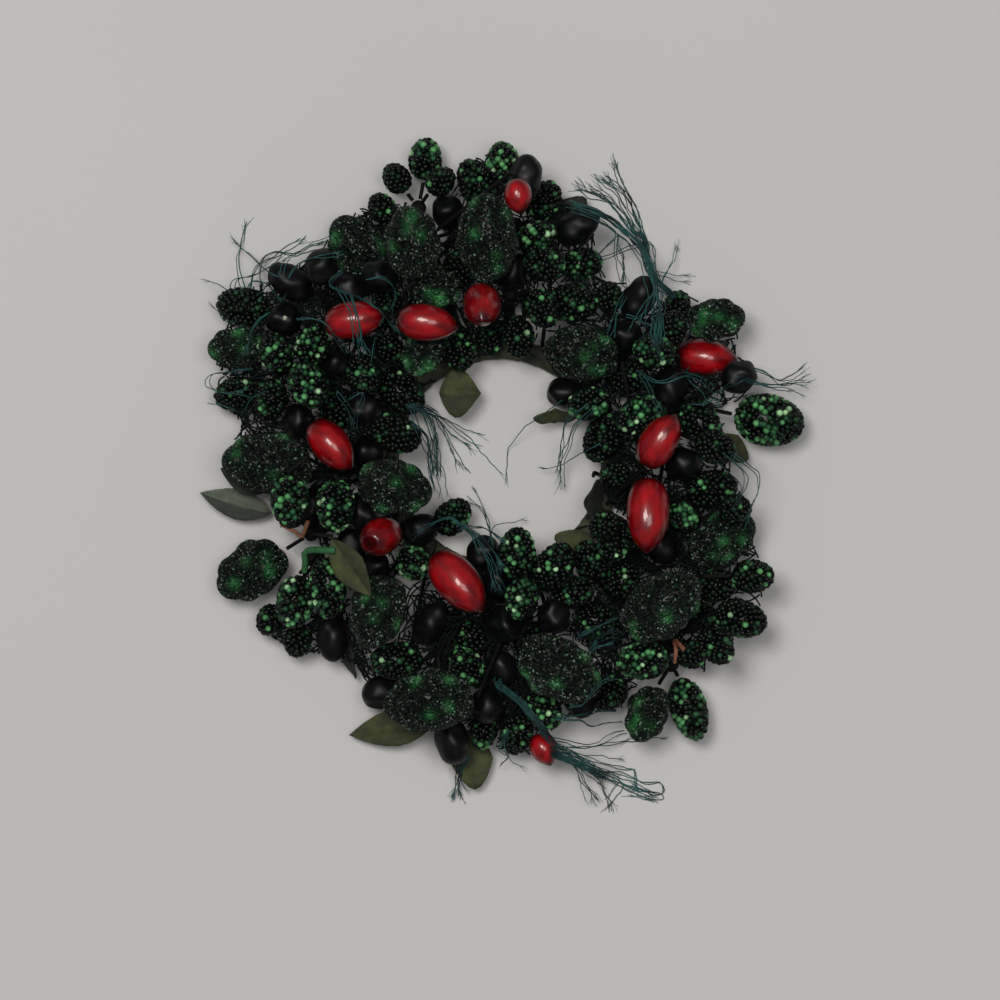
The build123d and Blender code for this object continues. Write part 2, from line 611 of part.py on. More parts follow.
def find_route(item, others):
    """A clear way for a stem wire to a post of its spray or to the hoop: straight, or else with one elbow."""
    start = item.stem_point()
    own = [(item.spots(), item.radii)]
    away = (start - item.origin()).normalized()
    tied = free_ends[item.spray]
    ends = tied + [hoop_point(start, turn) for turn in HOOP_TURNS]
    route = shortest_route([[start]], ends, others, own, item.spray)
    if route is None:
        leans = [away - UP * drop + UP.cross(away) * aside for drop in DROP_SHARES for aside in LEAN_SHARES]
        elbows = [start + lean.normalized() * reach for reach in ELBOW_REACHES for lean in leans]
        elbows = [elbow for elbow in elbows if elbow.Z > STEM_RADIUS + TABLE_CLEARANCE]
        elbows = [elbow for elbow in elbows if run_room(start, elbow, others) > STEM_RADIUS + STEM_CLEARANCE]
        route = shortest_route([[start, elbow] for elbow in elbows], ends, others, own, item.spray)
    if route:
        free_ends[item.spray] = [end for end in tied if end is not route[-1]]
    return route


def draped(plan, blocks):
    """A strand's points in space: over what is under its runs, falling no steeper than stiff twine does."""
    radius = TWINE_STRAND_DIAMETER / 2
    plan = [on_hoop(x, y) for x, y in plan]
    heights = []
    for i, (x, y) in enumerate(plan):
        top = radius + TABLE_CLEARANCE
        for near_x, near_y in plan[max(0, i - 1) : i + 2]:
            for share in np.linspace(0, 1, DRAPE_STEPS + 1):
                spans = blocked_heights(x + (near_x - x) * share, y + (near_y - y) * share, radius, blocks)
                top = max([top] + [high for _, high in spans])
        heights.append(top)
    runs = [math.dist(spot, next_spot) for spot, next_spot in zip(plan, plan[1:])]
    for i, run in enumerate(runs):
        heights[i + 1] = max(heights[i + 1], heights[i] - TWINE_FALL * run)
    for i, run in reversed(list(enumerate(runs))):
        heights[i] = max(heights[i], heights[i + 1] - TWINE_FALL * run)
    return [Vector(x, y, height) for (x, y), height in zip(plan, heights)]


def bent_path(points, largest):
    """A path through the points: straight runs joined by round bends of up to the largest radius."""
    if len(points) == 2:
        return Line(*points)
    bends = []
    for before, corner, after in zip(points, points[1:], points[2:]):
        turn = math.radians((corner - before).get_angle(after - corner))
        shorter = min((corner - before).length, (after - corner).length)
        bends.append(min(largest, BEND_SHARE * shorter / math.tan(turn / 2)))
    return FilletPolyline(*points, radius=bends)


def facing(start, end):
    """A plane at the start of a straight run, facing its end."""
    return Plane(origin=start, z_dir=end - start)


def save(part, name):
    """Label a finished sub-part and write its STEP file."""
    part.label = name
    export_step(part, f"parts/{name}.step")
    print(name, "solids", len(part.solids()), "volume", round(part.volume, 1))


# Posts with their knots come first, and everything else finds its height round them
posts = {}
for spray, places in POSTS.items():
    knots = [Vector(*on_hoop(x, y), POST_HEIGHT) for x, y in places]
    posts[spray] = [(hoop_point(knot), knot) for knot in knots]
pivots = {}
for sprig, (spray, x, y, _) in SPRIG_POSTS.items():
    pivots[sprig] = Vector(*on_hoop(x, y), PIVOT_HEIGHT)
    posts[spray].append((hoop_point(pivots[sprig]), pivots[sprig]))
post_blocks = {spray: [] for spray in posts}
for spray, runs in posts.items():
    for start, knot in runs:
        post_blocks[spray].append(run_block(start, knot, POST_DIAMETER / 2))
        post_blocks[spray].append((np.array([tuple(knot)]), np.array([KNOT_RADIUS])))
filled = [block for blocks in post_blocks.values() for block in blocks]

# Sprigs, then the leaves that bend, keep the room that they are lifted through
swept = []
stems = {spray: [] for spray in (*POSTS, *SPRIG_POSTS)}
pieces = []
for name, rows in SPRIG_ROWS.items():
    sprig = next(sprig for sprig in SPRIG_POSTS if name.startswith(sprig))
    for row in rows:
        fruit = Fruit(name, sprig, row)
        fruit.height = lowest_clear(fruit, filled)
        pieces.append(fruit)
        filled.append((fruit.spots(), fruit.radii))
        pivot, end = pivots[sprig], fruit.stem_point()
        start = pivot + (end - pivot).normalized() * (KNOT_RADIUS + HINGE_GAP)
        stems[sprig].append([start, end])
        direction = Vector(1, 0, 0).rotate(Axis.Z, SPRIG_POSTS[sprig][3])
        for block in (run_block(start, end, STEM_RADIUS), filled[-1]):
            swept += [lifted(block, pivot, direction, angle) for angle in (0, SPRIG_LIFT / 2, SPRIG_LIFT)]
leaves = []
for name, row in BENDING_LEAF_ROWS.items():
    leaf = Leaf(name, row, HINGE_GAP)
    leaf.height = lowest_clear(leaf, filled + swept)
    leaves.append(leaf)
    filled.append((leaf.spots(), leaf.radii))
    direction = Vector(leaf.axis.X, leaf.axis.Y).normalized()
    swept += [lifted(filled[-1], leaf.stem_point(), direction, angle) for angle in (LEAF_LIFT / 2, LEAF_LIFT)]

# The other leaves and the fruit, layer by layer
still = [Leaf("fixed_leaves", row, STEM_SEAT) for row in FIXED_LEAF_ROWS]
for name, rows in FRUIT_ROWS.items():
    spray = max((spray for spray in POSTS if name.startswith(spray)), key=len)
    still += [Fruit(name, spray, row) for row in rows]
for item in sorted(still, key=lambda item: item.layer):
    item.height = lowest_clear(item, filled + swept)
    filled.append((item.spots(), item.radii))
leaves += [item for item in still if isinstance(item, Leaf)]
pieces += [item for item in still if isinstance(item, Fruit)]

# Stem wires of everything that stands still, and of the leaves
wire_blocks = {spray: [] for spray in POSTS}
free_ends = {}
for spray, runs in posts.items():
    free_ends[spray] = [start + (knot - start) * share for start, knot in runs for share in POST_SHARES]
for item in (*leaves, *pieces):
    if item.spray in pivots:
        continue
    others = swept + [(other.spots(), other.radii) for other in (*leaves, *pieces) if other is not item]
    for spray in POSTS:
        if spray != item.spray:
            others = others + post_blocks[spray] + wire_blocks[spray]
    route = find_route(item, others)
    if route is None:
        print("no clear stem:", item.name, round(item.x, 1), round(item.y, 1), round(item.height, 1))
        continue
    stems[item.spray].append(route)
    wire_blocks[item.spray] += [run_block(start, end, STEM_RADIUS) for start, end in zip(route, route[1:])]
wired = filled + [block for blocks in wire_blocks.values() for block in blocks]
strands = {name: [draped(plan, wired) for plan in plans] for name, plans in TWINE_ROWS.items()}

os.makedirs("parts", exist_ok=True)

# The hoop: a closed ring of wire
with BuildPart() as wire_hoop:
    with BuildSketch(Plane.XZ):
        with Locations((HOOP_RADIUS, HOOP_HEIGHT)):
            Circle(HOOP_WIRE_DIAMETER / 2)
    revolve(axis=Axis.Z)
save(wire_hoop.part, "wire_hoop")

# The tape wound round the wire, pressed flat underneath where the ring stands
with BuildPart() as tape_wrap:
    with BuildSketch(Plane.XZ):
        with Locations((HOOP_RADIUS, HOOP_HEIGHT)):
            Circle(TAPE_DIAMETER / 2)
            Circle(HOOP_WIRE_DIAMETER / 2 + TAPE_FIT, mode=Mode.SUBTRACT)
    revolve(axis=Axis.Z)
    split(bisect_by=Plane.XY, keep=Keep.TOP)
save(tape_wrap.part, "tape_wrap")

# Posts with their knots, and the stem wires that run into them
for spray, routes in stems.items():
    paths = [bent_path(route, STEM_BEND_RADIUS) for route in routes]
    with BuildPart() as spray_stems:
        for start, knot in posts.get(spray, []):
            with BuildSketch(facing(start, knot)):
                Circle(POST_DIAMETER / 2)
            extrude(amount=(knot - start).length)
            with Locations(knot):
                Sphere(KNOT_RADIUS)
        for path in paths:
            with BuildSketch(Plane(origin=path @ 0, z_dir=path % 0)):
                Circle(STEM_RADIUS)
            sweep(path=path)
    save(spray_stems.part, f"{spray}_stems")

# Berries, sugared fruit and hips, turned about their own axes
for name in (*SPRIG_ROWS, *FRUIT_ROWS):
    with BuildPart() as fruit_group:
        for fruit in (piece for piece in pieces if piece.name == name):
            length, width, form = fruit.form
            sunk = LOBE_RELIEF if form == LOBED else 0.0
            base, nose = sunk - length / 2, length / 2 - sunk
            widest = length * SHOULDER - length / 2
            half = width / 2 - sunk
            rise = QUARTER * half
            heel, toe = QUARTER * (widest - base), QUARTER * (nose - widest)
            plane = Plane(origin=fruit.origin(), x_dir=fruit.axis, z_dir=fruit.side)
            with BuildSketch(plane):
                with BuildLine():
                    Bezier((base, 0), (base, rise), (widest - heel, half), (widest, half))
                    if form == POINTED:
                        Spline((widest, half), (nose, 0), tangents=((1, 0), (1, -NOSE_SLOPE)))
                    else:
                        Bezier((widest, half), (widest + toe, half), (nose, rise), (nose, 0))
                    Line((nose, 0), (base, 0))
                make_face()
            revolve(axis=Axis(plane.origin, plane.x_dir))
            if form == LOBED:
                radius, planes = fruit.lobes()
                for lobe in planes:
                    with Locations(lobe):
                        Sphere(radius)
    save(fruit_group.part, name)

# Leaves: a pointed oval cut from a cupped sheet
for name in ("fixed_leaves", *BENDING_LEAF_ROWS):
    sheets = []
    for leaf in (leaf for leaf in leaves if leaf.name == name):
        with BuildPart() as sheet:
            with BuildSketch(Plane(origin=leaf.origin(), x_dir=leaf.side, z_dir=leaf.axis)):
                with Locations((0, LEAF_CUP_RADIUS)):
                    Circle(LEAF_CUP_RADIUS)
                    Circle(LEAF_CUP_RADIUS - LEAF_THICKNESS, mode=Mode.SUBTRACT)
            extrude(amount=leaf.length)
            with BuildSketch(Plane(origin=leaf.origin(), x_dir=leaf.axis, z_dir=leaf.normal)):
                with BuildLine():
                    ThreePointArc((0, 0), (leaf.length / 2, leaf.width / 2), (leaf.length, 0))
                    ThreePointArc((leaf.length, 0), (leaf.length / 2, -leaf.width / 2), (0, 0))
                make_face()
            extrude(amount=LEAF_CUP_RADIUS / 2, both=True, mode=Mode.INTERSECT)
        sheets += sheet.part.solids()
    with BuildPart() as leaf_group:
        add(sheets)
    save(leaf_group.part, name)

# Twine: loose strands laid over the fruit, each a bent round thread
for name, plans in strands.items():
    paths = [bent_path(points, math.inf) for points in plans]
    with BuildPart() as tuft:
        for path in paths:
            with BuildSketch(Plane(origin=path @ 0, z_dir=path % 0)):
                Circle(TWINE_STRAND_DIAMETER / 2)
            sweep(path=path)
    save(tuft.part, name)

for sprig, pivot in pivots.items():
    print("pivot", sprig, [round(value, 3) for value in tuple(pivot)])
for leaf in leaves:
    if leaf.name in BENDING_LEAF_ROWS:
        print("pivot", leaf.name, [round(value, 3) for value in tuple(leaf.stem_point())], "axis", leaf.axis)
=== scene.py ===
# %% [markdown]
# A candle ring, dressed over its solids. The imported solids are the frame: they say where every berry,
# fruit, hip, leaf, wire and strand stands, and how long and wide it is. This script measures them and
# builds the skins that make them look real: beads, sugar grains, lacquer, woven cloth, crepe tape and
# frayed twine.

import json
import math

import bpy
import numpy as np
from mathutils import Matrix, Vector
from mathutils.bvhtree import BVHTree


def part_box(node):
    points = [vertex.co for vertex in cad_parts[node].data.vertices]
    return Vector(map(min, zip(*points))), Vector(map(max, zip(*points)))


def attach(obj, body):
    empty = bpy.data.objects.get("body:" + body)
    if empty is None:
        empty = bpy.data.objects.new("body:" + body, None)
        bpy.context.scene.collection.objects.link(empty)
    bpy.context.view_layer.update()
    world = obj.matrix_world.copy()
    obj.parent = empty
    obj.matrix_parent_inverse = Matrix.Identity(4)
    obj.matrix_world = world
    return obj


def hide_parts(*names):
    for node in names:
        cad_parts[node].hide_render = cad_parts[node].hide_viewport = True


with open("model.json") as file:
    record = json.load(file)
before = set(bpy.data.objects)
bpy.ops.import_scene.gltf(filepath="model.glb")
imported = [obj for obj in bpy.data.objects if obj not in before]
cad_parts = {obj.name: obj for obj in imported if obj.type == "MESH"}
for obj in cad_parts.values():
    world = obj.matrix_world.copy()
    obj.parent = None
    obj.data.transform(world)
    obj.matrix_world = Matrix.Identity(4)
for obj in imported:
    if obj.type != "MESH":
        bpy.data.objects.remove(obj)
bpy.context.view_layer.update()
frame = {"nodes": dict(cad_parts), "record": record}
MM = 0.001
body_of = {node: body for body, nodes in frame["record"]["behaviour"]["bodies"].items() for node in nodes}

# %% [markdown]
# Each node of fruit is one mesh with several closed skins in it. Blender could split them with its separate
# operator, but giving joined corners the same label leaves the solids alone. A fruit is turned about its
# own axis, so that axis is the long direction of its skin, weighed by area, and the stem end is the fatter
# one.

# %% Measure the fruit
WELD = 1e-6
ASKEW = (0.31, -0.52, 0.79)  # a direction that no fruit's axis shares


def islands(node):
    """The separate skins of a node, each as an array of corners and an array of triangles."""
    mesh = frame["nodes"][node].data
    mesh.calc_loop_triangles()
    corners = np.empty(len(mesh.vertices) * 3)
    mesh.vertices.foreach_get("co", corners)
    triangles = np.empty(len(mesh.loop_triangles) * 3, dtype=np.int32)
    mesh.loop_triangles.foreach_get("vertices", triangles)
    corners = corners.reshape(-1, 3)
    grid = np.round(corners / WELD).astype(np.int64)
    _, first, welded = np.unique(grid, axis=0, return_index=True, return_inverse=True)
    corners, triangles = corners[first], welded.ravel()[triangles].reshape(-1, 3)
    label = np.arange(len(corners))
    while True:
        lowest = label.copy()
        for column in triangles.T:
            np.minimum.at(lowest, column, label[triangles].min(axis=1))
        lowest = lowest[lowest]
        if (lowest == label).all():
            break
        label = lowest
    skins = []
    for name in np.unique(label[triangles[:, 0]]):
        used, faces = np.unique(triangles[label[triangles[:, 0]] == name], return_inverse=True)
        skins.append((corners[used], faces.reshape(-1, 3)))
    return skins


def unit(vectors):
    """The vectors at length one."""
    return vectors / np.linalg.norm(vectors, axis=-1, keepdims=True)


def seeded(place):
    """Random numbers of its own for each place, the same in every run."""
    return np.random.default_rng(np.abs(np.round(np.asarray(place) * 10000)).astype(int))


def main_ways(corners, triangles):
    """The middle of a skin and its principal directions, weighed by area, the longest last."""
    a, b, c = (corners[triangles[:, i]] for i in range(3))
    area = np.linalg.norm(np.cross(b - a, c - a), axis=1)
    spots = (a + b + c) / 3
    middle = (spots * area[:, None]).sum(0) / area.sum()
    spread = ((spots - middle) * area[:, None]).T @ (spots - middle)
    return middle, np.linalg.eigh(spread)[1]


class Fruit:
    """One berry, fruit or hip: its middle, its axis from stem to tip, two ways across it, and its size."""

    def __init__(self, corners, triangles):
        middle, ways = main_ways(corners, triangles)
        axis = ways[:, 2]
        along = (corners - middle) @ axis
        halfway = (along.min() + along.max()) / 2
        self.length = along.max() - along.min()
        self.middle = middle + axis * halfway
        self.axis = axis if halfway > 0 else -axis
        self.across = unit(np.cross(self.axis, ASKEW))
        self.other = np.cross(self.axis, self.across)
        self.half = np.linalg.norm(np.cross(corners - self.middle, self.axis), axis=1).max()
        self.solid = (corners, triangles)
        self.tree = None
        self.draw = seeded(self.middle)


def kind(word):
    """The nodes of one kind of fruit, with their fruit."""
    names = sorted(name for name in frame["nodes"] if word in name)
    return {name: [Fruit(*skin) for skin in islands(name)] for name in names}


beaded, sugared, dark, hips = kind("beaded"), kind("sugared"), kind("dark_berries"), kind("red_hips")
for word, group in (("beaded", beaded), ("sugared", sugared), ("dark", dark), ("hips", hips)):
    sizes = [fruit.length / MM for fruits in group.values() for fruit in fruits]
    print(word, len(sizes), "fruit,", round(min(sizes), 1), "to", round(max(sizes), 1), "mm long")

# %% [markdown]
# Skins are made as arrays of corners and faces. Two helpers do most of the work: one turns a profile about
# a fruit's axis, as a lathe does, and one sets many copies of a small form on the skin, each standing
# square to it. Particles or geometry nodes could scatter too; plain arrays keep every grain a real face in
# the mesh. Where a solid has lobes or a point of its own, the skin is drawn in to it with rays.

# %% Skins as arrays
SHOULDER = 0.44  # where a fruit is widest, as a share of its length from the stem
GOLDEN_TURN = math.pi * (3 - math.sqrt(5))
SLOPE_STEP = 0.004
RAY_REACH = 2 * MM
PACKING = 0.9
POLE = 0.0005  # how far a turned skin's two end corners are from its ends, as a share of its length
ASLANT = (0.62, 0.17, -0.76)


def egg(share):
    """The profile of a berry: its radius, as a share of the widest, from stem (0) to tip (1)."""
    reach = np.where(share < SHOULDER, SHOULDER, 1 - SHOULDER)
    return np.sqrt(np.clip(1 - ((share - SHOULDER) / reach) ** 2, 0, 1))


def on_skin(fruit, share, turn):
    """Places on a fruit's skin at shares along it and turns round it, and the outward normals there."""
    before, after = np.clip(share - SLOPE_STEP, 0, 1), np.clip(share + SLOPE_STEP, 0, 1)
    radius = egg(share) * fruit.half
    rise = (egg(after) - egg(before)) * fruit.half
    run = (after - before) * fruit.length
    out = np.cos(turn)[:, None] * fruit.across + np.sin(turn)[:, None] * fruit.other
    places = fruit.middle + ((share - 0.5) * fruit.length)[:, None] * fruit.axis + radius[:, None] * out
    return places, unit(out * run[:, None] - fruit.axis * rise[:, None])


def drawn_in(fruit, places, normals):
    """The places moved along their normals to the solid's own skin, and the solid's normals there."""
    if fruit.tree is None:
        corners, triangles = fruit.solid
        fruit.tree = BVHTree.FromPolygons(corners.tolist(), triangles.tolist())
    spots, ways = places.copy(), normals.copy()
    for i, (place, normal) in enumerate(zip(places, normals)):
        start = Vector(place + normal * RAY_REACH)
        spot, way, _, _ = fruit.tree.ray_cast(start, Vector(-normal), 3 * RAY_REACH)
        if spot is not None:
            spots[i] = spot
            ways[i] = way if way.dot(Vector(normal)) > 0 else normal
    return spots, ways


def spread_on(fruit, gap):
    """Shares and turns that cover a fruit evenly, a gap apart, in a golden spiral."""
    steps = (1 - np.cos(np.linspace(0, math.pi, 241))) / 2
    radius = egg(steps) * fruit.half
    slant = np.hypot(np.diff(steps) * fruit.length, np.diff(radius))
    area = np.concatenate([[0], np.cumsum(slant * (radius[1:] + radius[:-1]) * math.pi)])
    count = int(area[-1] / (gap * gap * PACKING))
    share = np.interp((np.arange(count) + 0.5) / count * area[-1], area, steps)
    return share, np.arange(count) * GOLDEN_TURN


def bands(rings, sides):
    """Faces between closed rings of corners, which follow each other after a first corner."""
    faces = []
    for low in range(1, 1 + (rings - 1) * sides, sides):
        for k in range(sides):
            beside = (k + 1) % sides
            faces.append((low + k, low + beside, low + sides + beside, low + sides + k))
    return faces


def lathe(fruit, rings, sides, inset=0.0, rough=None, fitted=False):
    """A turned skin, a little inside the fruit's own: corners, faces, and each corner's share along it."""
    share = np.repeat((1 - np.cos(np.linspace(0, math.pi, rings + 2)[1:-1])) / 2, sides)
    turn = np.tile(np.arange(sides) / sides * 2 * math.pi, rings)
    share = np.concatenate([[POLE], share, [1 - POLE]])
    turn = np.concatenate([[0.0], turn, [0.0]])
    corners, normals = on_skin(fruit, share, turn)
    if fitted:
        corners, _ = drawn_in(fruit, corners, normals)
    corners = corners - normals * inset
    if rough is not None:
        corners = corners + normals * rough(corners)[:, None]
    faces = [(0, 1 + (k + 1) % sides, 1 + k) for k in range(sides)] + bands(rings, sides)
    low, last = 1 + (rings - 1) * sides, rings * sides + 1
    faces += [(low + k, low + (k + 1) % sides, last) for k in range(sides)]
    return corners, faces, share


def set_out(form, places, normals, sizes, spins):
    """Copies of a small form, each at a place, standing along the normal, at its own size and spin."""
    corners, faces = form
    first = unit(np.cross(normals, ASLANT))
    second = np.cross(normals, first)
    x = first * np.cos(spins)[:, None] + second * np.sin(spins)[:, None]
    y = second * np.cos(spins)[:, None] - first * np.sin(spins)[:, None]
    turned = np.stack([x, y, normals], axis=1)
    copies = places[:, None] + (corners[None] @ turned) * sizes[:, None, None]
    many = []
    for start in range(0, len(places) * len(corners), len(corners)):
        many += [tuple(start + i for i in face) for face in faces]
    return copies.reshape(-1, 3), many


def ripple(draw, size, height, waves=7):
    """A smooth random swell for a skin: humps about a size apart and up to about a height tall."""
    ways = unit(draw.normal(size=(waves, 3))) * (2 * math.pi / size)
    starts = draw.uniform(0, 2 * math.pi, waves)
    return lambda corners: np.cos(corners @ ways.T + starts).sum(1) * height / math.sqrt(waves)


print("skins ready: lathe, spread and scatter")

# %% [markdown]
# Pieces ride on the body of the node that they stand for. A tint for each bead or grain is kept as a colour
# on the mesh's corners, so that one material serves every berry and no picture is needed. The pile keeps
# plain skins of all the fruit, for what is laid over them later.

# %% Turn arrays into pieces
pile = {"still": [], "moving": []}


def put(name, data):
    """A new object in the scene, for a mesh, a curve, a lamp or a camera."""
    made = bpy.data.objects.new(name, data)
    bpy.context.scene.collection.objects.link(made)
    return made


def piece(name, corners, faces, look, node, tints=None, along=None, smooth=True, stands_for=()):
    """A mesh piece that rides on a node's body and replaces the nodes it stands for."""
    mesh = bpy.data.meshes.new(name)
    mesh.from_pydata([tuple(corner) for corner in corners], [], faces)
    mesh.polygons.foreach_set("use_smooth", np.full(len(mesh.polygons), smooth))
    if tints is not None:
        colours = mesh.color_attributes.new("tint", "FLOAT_COLOR", "POINT")
        colours.data.foreach_set("color", np.column_stack([tints, np.ones(len(tints))]).ravel())
    if along is not None:
        marks = mesh.attributes.new("along", "FLOAT_VECTOR", "POINT")
        marks.data.foreach_set("vector", np.asarray(along, dtype=float).ravel())
    mesh.materials.append(look)
    mesh.update()
    made = put(name, mesh)
    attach(made, body_of[node])
    if stands_for:
        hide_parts(*stands_for)
    return made


def join(parts):
    """Several skins as one: corners in a row, and faces that count on from the skins before."""
    corners, faces, count = [], [], 0
    for part_corners, part_faces in parts:
        corners.append(part_corners)
        faces += [tuple(int(i) + count for i in face) for face in part_faces]
        count += len(part_corners)
    return np.concatenate(corners), faces


def heap(node, skin):
    """Add a plain skin to the pile, by whether its body moves."""
    pile["still" if body_of[node] == "ring" else "moving"].append(skin)


def dress(group, look, make, mark="tints", smooth=True):
    """One piece for each node of a kind. Each fruit is made into skins, their marks and a plain skin."""
    for node, fruits in group.items():
        skins, marks = [], []
        for fruit in fruits:
            fruit_skins, fruit_marks, plain = make(fruit)
            skins += fruit_skins
            marks += fruit_marks
            heap(node, plain)
        settings = {mark: np.concatenate(marks), "smooth": smooth, "stands_for": [node]}
        piece(f"{node}_skin", *join(skins), look, node, **settings)
    print(look.name, "on", sum(len(fruits) for fruits in group.values()), "fruit")


def ink(red, green, blue):
    """A colour as it looks on a screen, 0 to 255, as the linear values that a shader takes."""
    shares = np.array((red, green, blue)) / 255
    return np.where(shares > 0.04045, ((shares + 0.055) / 1.055) ** 2.4, shares / 12.92)


print("pieces ready")

# %% [markdown]
# Finishes for the fruit. Each is a Principled shader. Beads, sugar and dark skins take their colour from
# the tint on the mesh and are broken up with noise, in colour and in gloss, so that no two catch the light
# alike.

# %% Finishes for fruit
def finish(name):
    """A new material with its shader and its node tree."""
    made = bpy.data.materials.new(name)
    made.use_nodes = True
    return made, made.node_tree.nodes["Principled BSDF"], made.node_tree


def add(tree, node, *sources, **settings):
    """A new node of a tree. A setting with a socket's name sets it; sources feed the first sockets."""
    made = tree.nodes.new(node)
    for name, value in settings.items():
        if name in made.inputs:
            made.inputs[name].default_value = value
        else:
            setattr(made, name, value)
    for source, socket in zip(sources, made.inputs):
        tree.links.new(source, socket)
    return made


def noise(tree, source, scale, detail=3.0):
    """The value of a noise texture that is laid out by a socket."""
    return add(tree, "ShaderNodeTexNoise", source, Scale=scale, Detail=detail).outputs["Fac"]


def span(tree, source, low, high):
    """A value from 0 to 1, stretched from low to high."""
    made = add(tree, "ShaderNodeMapRange", source)
    made.inputs["To Min"].default_value = low
    made.inputs["To Max"].default_value = high
    return made.outputs["Result"]


def ramp(tree, source, *stops):
    """A colour for each value: stops are pairs of a value and a colour or a level of grey."""
    made = add(tree, "ShaderNodeValToRGB", source)
    marks = made.color_ramp.elements
    for mark, (position, colour) in zip([marks[0], marks[1], *(marks.new(0.5) for _ in stops[2:])], stops):
        mark.position = position
        mark.color = (*np.broadcast_to(colour, 3), 1)
    return made.outputs["Color"]


def scaled(tree, colour, level):
    """A colour made darker or brighter by a level."""
    made = add(tree, "ShaderNodeVectorMath", colour, operation="SCALE")
    tree.links.new(level, made.inputs["Scale"])
    return made.outputs["Vector"]


def bump(tree, shader, source, strength, depth):
    """Press a texture into the surface, at a strength and a depth in metres."""
    made = add(tree, "ShaderNodeBump", Strength=strength, Distance=depth)
    tree.links.new(source, made.inputs["Height"])
    tree.links.new(made.outputs["Normal"], shader.inputs["Normal"])


def tinted_finish(name, roughness, gloss, noise_scale, noise_depth):
    """Beads, grains or a smooth skin: the tint of the mesh, broken up, with as much gloss as it asks for."""
    made, shader, tree = finish(name)
    tint = add(tree, "ShaderNodeVertexColor", layer_name="tint").outputs["Color"]
    cloud = noise(tree, add(tree, "ShaderNodeTexCoord").outputs["Object"], noise_scale)
    uneven = span(tree, cloud, 1 - noise_depth, 1 + noise_depth)
    tree.links.new(scaled(tree, tint, uneven), shader.inputs["Base Color"])
    tree.links.new(span(tree, cloud, roughness * 0.7, roughness * 1.3), shader.inputs["Roughness"])
    bump(tree, shader, cloud, 0.3, 0.0001)
    shader.inputs["Specular IOR Level"].default_value = gloss
    return made


bead_glass = tinted_finish("bead_glass", 0.3, 0.17, 900.0, 0.4)
sugar_glass = tinted_finish("sugar_glass", 0.36, 0.3, 700.0, 0.5)
dark_satin = tinted_finish("dark_satin", 0.42, 0.2, 500.0, 0.5)
print("finishes", bead_glass.name, sugar_glass.name, dark_satin.name)

# %% [markdown]
# Beaded berries: a dark core, and over it round glass beads that almost touch. Most beads are black-green;
# in berries that face the light many are painted clear green, as painted light. A bead is a cap that goes
# just past its equator, since the rest is sunk in the core. Each bead's top is painted brighter than its
# rim, as painted light.

# %% Beaded berries
BEAD_GAP = 1.36 * MM
BEAD_RADIUS = 0.74 * MM
BEAD_SIZES = (0.74, 1.16)
BEAD_SUNK = 0.92
# How far beads stray along a berry, round it and in tilt.
BEAD_SHIFT, BEAD_SWERVE, BEAD_LEAN = 0.012, 0.06, 0.08
BEAD_ENDS = (0.004, 0.996)
BEAD_RINGS = (34, 66, 98)
BEAD_SIDES = 8
BEAD_GREENS = [(5, 11, 7), (12, 30, 17), (32, 70, 42), (74, 132, 80), (140, 180, 134)]
BEAD_SHADES = np.array([ink(*green) for green in BEAD_GREENS])
# Painted light: how often each green is dealt in berries that face the light, and in the rest.
LIT_SHARES = (0.40, 0.22, 0.20, 0.14, 0.04)
DIM_SHARES = (0.66, 0.22, 0.08, 0.035, 0.005)
# Painted light: each bead's tint is painted brighter at its top and darker towards its rim.
BEAD_PAINTED_LIGHT = np.array([1.6, 1.2, 0.55, 0.25])  # the tint's strength at a bead's top and at each ring below
# The middles of the berries that face the light, seen from above in millimetres. Their beads are
# dealt more of the paler greens, which is painted light.
LIT_BERRIES = [
    (31.0, 22.0), (28.0, 9.2), (17.8, 11.4), (37.2, -11.4), (28.8, -40.4), (38.4, -50.6), (4.4, -28.0),
    (3.4, -18.8), (-6.8, -41.8), (9.0, -50.6), (-33.2, -9.2), (-42.2, -8.4), (-34.6, -25.4), (-17.6, -20.8),
    (-38.0, 23.6), (-38.6, 15.2), (7.4, 45.2), (16.6, 40.0), (-41.4, -28.6), (54.8, 8.2), (-15.2, 61.4),
    (0.6, 60.4), (-45.6, 22.0),
]
LIT_REACH = 2.0
CORE_BLACK = ink(4, 7, 5)
CORE_SUNK = 0.95
CORE_GRID = (9, 14)  # rings and sides of a turned skin
UNEVEN = (0.7, 1.3)  # how much darker or brighter a bead or grain can be than its shade
ANY_TURN = (0, 6)


def cap(rings, sides):
    """A cap of a ball: corners in rings that fall away from its top by so many degrees, and faces."""
    corners = [(0.0, 0.0, 1.0)]
    for fall in np.radians(rings):
        for turn in np.arange(sides) * 2 * math.pi / sides:
            out = math.sin(fall)
            corners.append((out * math.cos(turn), out * math.sin(turn), math.cos(fall)))
    faces = [(0, 1 + k, 1 + (k + 1) % sides) for k in range(sides)]
    faces += [(a, d, c, b) for a, b, c, d in bands(len(rings), sides)]
    return np.array(corners), faces


bead = cap(BEAD_RINGS, BEAD_SIDES)
bead_painted_light_rings = np.concatenate([BEAD_PAINTED_LIGHT[:1], np.repeat(BEAD_PAINTED_LIGHT[1:], BEAD_SIDES)])


